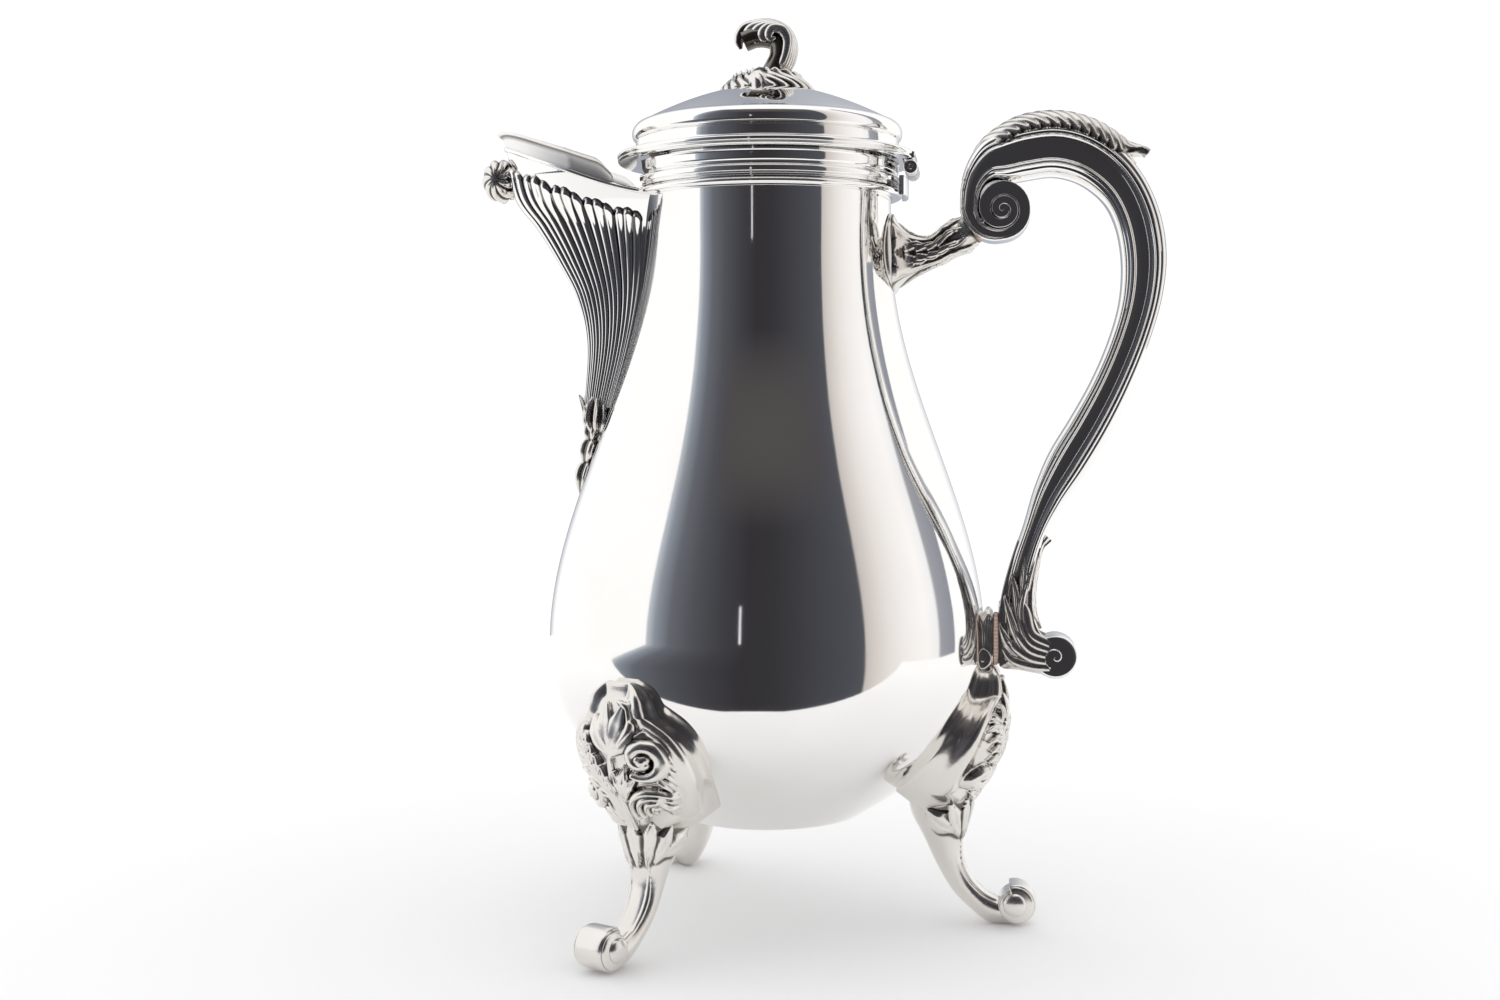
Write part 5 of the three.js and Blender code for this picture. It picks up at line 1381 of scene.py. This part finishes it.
def make_crest():
    """Ribs that rise together, nest round an eye and break over towards the spout."""
    lift = low_high("finial_crest", 2)[1] - CREST_DRAWN_TOP
    long_path = [(4.6, 251.4), (7.2, 255.8), (7.7, 260.6), (5.6, 264.8), (1.4, 266.7), (-3.2, 266.7),
                 (-6.9, 265.6), (-8.4, 262.6), (-7.9, 260.0)]
    short_path = [(2.6, 251.8), (5.0, 255.4), (6.3, 259.0), (6.4, 262.4), (4.6, 264.6), (2.2, 264.7),
                  (1.2, 263.2), (1.9, 261.9), (3.2, 262.2)]
    ribs_each_side = 4
    for k in range(-ribs_each_side, ribs_each_side + 1):
        t = abs(k) / ribs_each_side
        path = (1 - t) * np.array(long_path) + t * np.array(short_path)
        share = np.linspace(0, 1, 80)
        spread = np.interp(share, [0, 0.25, 0.6, 1], [0.45, 0.75, 1.0, 1.0])
        y = np.sign(k) * 5.4 * t ** 0.9 * spread
        width = np.interp(share, [0, 0.3, 0.62, 0.9, 1], [1.2, 1.6, 2.1, 1.9, 0.5]) * (1 - 0.25 * t)
        crest_rib(f"finial_crest_rib_{k + ribs_each_side + 1}", spline(path, 80), y, width, k, t, lift,
                  ["finial_crest"] if k == 0 else ())
    core_path = [(1.4, 250.6), (3.0, 254.6), (4.0, 258.6), (3.2, 262.0), (0.2, 263.3), (-3.4, 263.4),
                 (-6.8, 262.2)]
    core = spline(core_path, 60)
    share = np.linspace(0, 1, 60)
    width = np.interp(share, [0, 0.3, 0.7, 1], [4.4, 3.2, 3.1, 2.9])
    depth = np.interp(share, [0, 0.3, 1], [4.4, 4.2, 4.6])
    points = tube_about(core, width, depth, 0 * share, 28, lift)
    # core painted dark, 0.16, as painted shade between the ribs
    add_tube("finial_crest_core", points, "lid", "cast_silver", relief=np.full(points.shape[:2], 0.16),
             sharp=70)


def tube_about(line, width, depth, y, columns, lift):
    """A rounded tube about a line in the handle's plane, with its own width and depth at each point."""
    out = left_of(line)
    angle = circle(columns)
    flat = line[:, None] + out[:, None] * (width[:, None] * np.cos(angle))[..., None]
    across = y[:, None] + depth[:, None] * np.sin(angle)
    return np.stack([flat[..., 0], across, flat[..., 1] + lift], -1)


def crest_rib(name, line, y, width, k, t, lift, nodes):
    columns = 24
    points = tube_about(line, width, width * 0.72, y, columns, lift)
    angle = circle(columns)
    # painted shade and painted highlight by which way each face of the rib turns
    facing = np.abs(np.cos(angle)) if k == 0 else -np.cos(angle) * (1 - t) + np.sin(angle) * np.sign(k)
    shade = np.broadcast_to(0.12 + 0.88 * smoothstep(facing, 0.25, 0.8), points.shape[:2])
    add_tube(name, points, "lid", "cast_silver", nodes, shade, sharp=70)


def make_finial_fixing():
    """Threaded stud from the crest through the dome, and its nut inside the lid."""
    for name, node, sides, top in (("finial_stud_rod", "finial_stud", 40, STUD_TOP),
                                   ("finial_hex_nut", "finial_nut", 6, None)):
        (x0, x1), (z0, z1) = low_high(node, 0), low_high(node, 2)
        z1 = top or z1
        radius = (x1 - x0) / 2
        bevel = 0.3
        profile = [(0.002, z0), (radius - bevel, z0), (radius, z0 + bevel), (radius, z1 - bevel),
                   (radius - bevel, z1), (0.002, z1)]
        angle, middle = circle(sides), (x0 + x1) / 2
        points = np.array([np.stack([middle + r * np.cos(angle), r * np.sin(angle), 0 * angle + z], -1)
                           for r, z in profile])
        add_tube(name, points, "lid", "polished_silver", [node])


def make_hinge():
    for i in range(5):
        side = "body" if i % 2 == 0 else "lid"
        node = f"hinge_{side}_knuckle_{i + 1}"
        low, high = low_high(node, 1)
        centre = (PIN[0], PIN[2])
        profile = [(0.88, low), (KNUCKLE_RADIUS - 0.25, low), (KNUCKLE_RADIUS, low + 0.25),
                   (KNUCKLE_RADIUS, high - 0.25), (KNUCKLE_RADIUS - 0.25, high), (0.88, high)]
        points = turned_about_y(profile, centre, 48)
        faces = grid_faces(*points.shape[:2], wrap_rows=True, wrap_columns=True)
        add_piece(f"hinge_knuckle_{i + 1}_turned", points, faces,
                  "pot" if side == "body" else "lid", "polished_silver", [node], sharp=40)
    half = (low_high("hinge_pin", 1)[1] - low_high("hinge_pin", 1)[0]) / 2
    add_bar("hinge_pin_rod", "hinge_pin", RIVET_RADIUS, half, "pot")


def make_hinge_leaves():
    """The body's curved leaf under the knuckles and the lid's flat one over them."""
    low, high = low_high("hinge_body_leaf", 2)
    half = low_high("hinge_body_leaf", 1)[1]
    inner = NECK_RADIUS + 3.85
    profile = rounded([(inner, low), (inner + 1.4, low), (inner + 1.4, high), (inner, high)], 0.3, 3)
    reach = math.asin(half / inner)
    points, faces = turned(profile, 40, -reach, reach)
    add_piece("hinge_leaf_on_neck", points, faces, "pot", "polished_silver", ["hinge_body_leaf"])
    (x0, x1), (y0, y1), (z0, z1) = (low_high("hinge_lid_leaf", axis) for axis in range(3))
    depth, width = superellipse(60, 7)
    rings = []
    for y, scale in ((y0, 0.01), (y0, 0.86), (y0 + 0.3, 1), (y1 - 0.3, 1), (y1, 0.86), (y1, 0.01)):
        x = (x0 + x1) / 2 + depth * (x1 - x0) / 2 * scale
        z = (z0 + z1) / 2 + width * (z1 - z0) / 2 * scale
        rings.append(np.stack([x, np.full(len(x), y), z], -1))
    points = np.array(rings)
    add_tube("hinge_leaf_on_lid", points, "lid", "polished_silver", ["hinge_lid_leaf"])


# ------------------------------------------------------------------ stage
SURROUND = 1.08  # brightness of the white round the pot
WALL_HEIGHTS = (-900, 3000)
WALL_RADIUS = 1500


def emitter(name, colour, strength):
    material = bpy.data.materials.new(name)
    material.use_nodes = True
    nodes = material.node_tree.nodes
    nodes.clear()
    glow = nodes.new("ShaderNodeEmission")
    glow.inputs["Color"].default_value = (*colour, 1)
    glow.inputs["Strength"].default_value = strength
    out = nodes.new("ShaderNodeOutputMaterial")
    material.node_tree.links.new(glow.outputs["Emission"], out.inputs["Surface"])
    return material


def stage_wall(name, stops, rows, radius, ceiling):
    """A curved wall round the pot whose glow varies smoothly.

    Azimuths are degrees from the camera's side, towards the handle; each row is a height, how far the
    wall's near edge leans outwards there, and how much of the ceiling's light falls on it.
    """
    azimuths = np.arange(stops[0][0], stops[-1][0] + 0.01, 0.4)
    at, colours = zip(*stops)
    base = np.stack([np.interp(azimuths, at, channel) for channel in zip(*colours)], -1)
    points, glow = [], []
    for z, lean, share in rows:
        leaning = np.where(azimuths < 0, azimuths * (1 + lean), azimuths)
        angles = np.radians(leaning) + CAMERA_SWING - math.pi / 2
        points += [place(radius * math.cos(a), radius * math.sin(a), z) for a in angles]
        glow.append(np.maximum(base, np.asarray(ceiling) * share))
    glow = np.vstack(glow)
    mesh = bpy.data.meshes.new(name)
    mesh.from_pydata(points, [], grid_faces(len(rows), len(azimuths)))
    layer = mesh.attributes.new("glow", "FLOAT_COLOR", "POINT")
    layer.data.foreach_set("color", np.hstack([glow, np.ones((len(glow), 1))]).ravel())
    material = emitter(name, (0, 0, 0), 1)
    nodes = material.node_tree.nodes
    colour = add_node(nodes, "ShaderNodeAttribute")
    colour.attribute_name = "glow"
    shine = next(node for node in nodes if node.type == "EMISSION")
    material.node_tree.links.new(colour.outputs["Color"], shine.inputs["Color"])
    mesh.materials.append(material)
    wall = bpy.data.objects.new(name, mesh)
    bpy.context.scene.collection.objects.link(wall)
    hide_from(wall, "camera", "diffuse", "shadow")


def stage_plane(name, x_range, y_range, z, material):
    (x0, x1), (y0, y1) = x_range, y_range
    mesh = bpy.data.meshes.new(name)
    corners = [place(x0, y0, z), place(x1, y0, z), place(x1, y1, z), place(x0, y1, z)]
    mesh.from_pydata(corners, [], [(0, 1, 2, 3)])
    mesh.materials.append(material)
    plane = bpy.data.objects.new(name, mesh)
    bpy.context.scene.collection.objects.link(plane)
    return plane


def hide_from(thing, *rays):
    for ray in rays:
        setattr(thing, "visible_" + ray, False)


def floor_material():
    """A pale matt floor that fades into the white surround away from the pot."""
    floor, nodes, links, shader = new_material("pale_floor")
    for key, value in {"Base Color": (0.93, 0.93, 0.935, 1), "Roughness": 0.35,
                       "Specular IOR Level": 0}.items():
        shader.inputs[key].default_value = value
    where = nodes.new("ShaderNodeTexCoord")
    distance = add_node(nodes, "ShaderNodeVectorMath", operation="LENGTH")
    links.new(where.outputs["Object"], distance.inputs[0])
    fade = add_node(nodes, "ShaderNodeMapRange", {"From Min": 0.12, "From Max": 0.55},
                    interpolation_type="SMOOTHSTEP")
    links.new(distance.outputs["Value"], fade.inputs["Value"])
    glow = add_node(nodes, "ShaderNodeEmission", {"Strength": SURROUND})
    mix = nodes.new("ShaderNodeMixShader")
    for source, target in ((fade.outputs["Result"], 0), (shader.outputs[0], 1), (glow.outputs[0], 2)):
        links.new(source, mix.inputs[target])
    out = next(node for node in nodes if node.type == "OUTPUT_MATERIAL")
    links.new(mix.outputs[0], out.inputs["Surface"])
    return floor


def make_stage():
    floor = floor_material()
    hide_from(stage_plane("floor_mirrored", (-700, 700), (-165, 700), -0.06, floor), "camera", "diffuse",
              "shadow")
    hide_from(stage_plane("floor_seen", (-4000, 4000), (-4000, 4000), -0.05, floor), "glossy", "diffuse",
              "shadow")

    world = bpy.data.worlds.new("studio")
    bpy.context.scene.world = world
    world.use_nodes = True
    background = world.node_tree.nodes["Background"]
    background.inputs["Color"].default_value = (1, 1, 1, 1)
    background.inputs["Strength"].default_value = SURROUND

    room = [(-63, (0.56, 0.60, 0.66)), (-58, (0.27, 0.30, 0.35)), (-50, (0.135, 0.145, 0.17)),
            (-38, (0.085, 0.09, 0.105)), (-24, (0.055, 0.055, 0.065)), (-10, (0.036, 0.034, 0.038)),
            (4, (0.038, 0.037, 0.041)), (22, (0.055, 0.056, 0.066)), (40, (0.072, 0.076, 0.09)),
            (49.6, (0.085, 0.09, 0.105)), (50.4, (0.60, 0.555, 0.53)), (56, (0.70, 0.655, 0.63)),
            (64, (0.84, 0.80, 0.78)), (74, (0.94, 0.91, 0.90)), (88, (1.02, 1.0, 0.99)),
            (97, (0.95, 0.95, 0.96)), (99, (0.36, 0.37, 0.41)), (112, (0.28, 0.29, 0.34))]
    levels = [(-900, 0.42, 0), (-130, 0.42, 0), (-30, 0.2, 0), (60, 0, 0), (1000, 0, 0), (1300, 0, 0.8),
              (1700, 0, 1), (2400, 0, 1.3), (3000, 0, 1.7)]
    stage_wall("room", room, levels, WALL_RADIUS, (0.105, 0.098, 0.10))
    back = [(148, (1.06, 1.06, 1.06)), (158, (0.80, 0.81, 0.84)), (170, (0.50, 0.52, 0.57)),
            (184, (0.36, 0.38, 0.43)), (198, (0.50, 0.52, 0.57)), (212, (1.06, 1.06, 1.06))]
    stage_wall("room_back", back, [(z, 0, 0) for z in WALL_HEIGHTS], WALL_RADIUS, (0, 0, 0))
    slit = [(-14, (0.8, 0.8, 0.85)), (-12.6, (0.8, 0.8, 0.85))]
    stage_wall("room_slit", slit, [(120, 0, 0), (420, 0, 0)], WALL_RADIUS - 100, (0, 0, 0))


make_body()
make_collar()
make_lid()
make_spout()
make_spout_rim()
make_tip_scroll()
make_spout_drop()
make_handle()
make_shields()
make_legs()
make_finial()
make_crest()
make_finial_fixing()
make_hinge()
make_hinge_leaves()
make_stage()

bpy.context.scene.view_settings.view_transform = "Standard"

for node_name, node in frame["nodes"].items():
    slot = next(s["material_slot"] for s in frame["record"]["subparts"] if s["node"] == node_name)
    node.data.materials.clear()
    node.data.materials.append(SLOTS[slot])
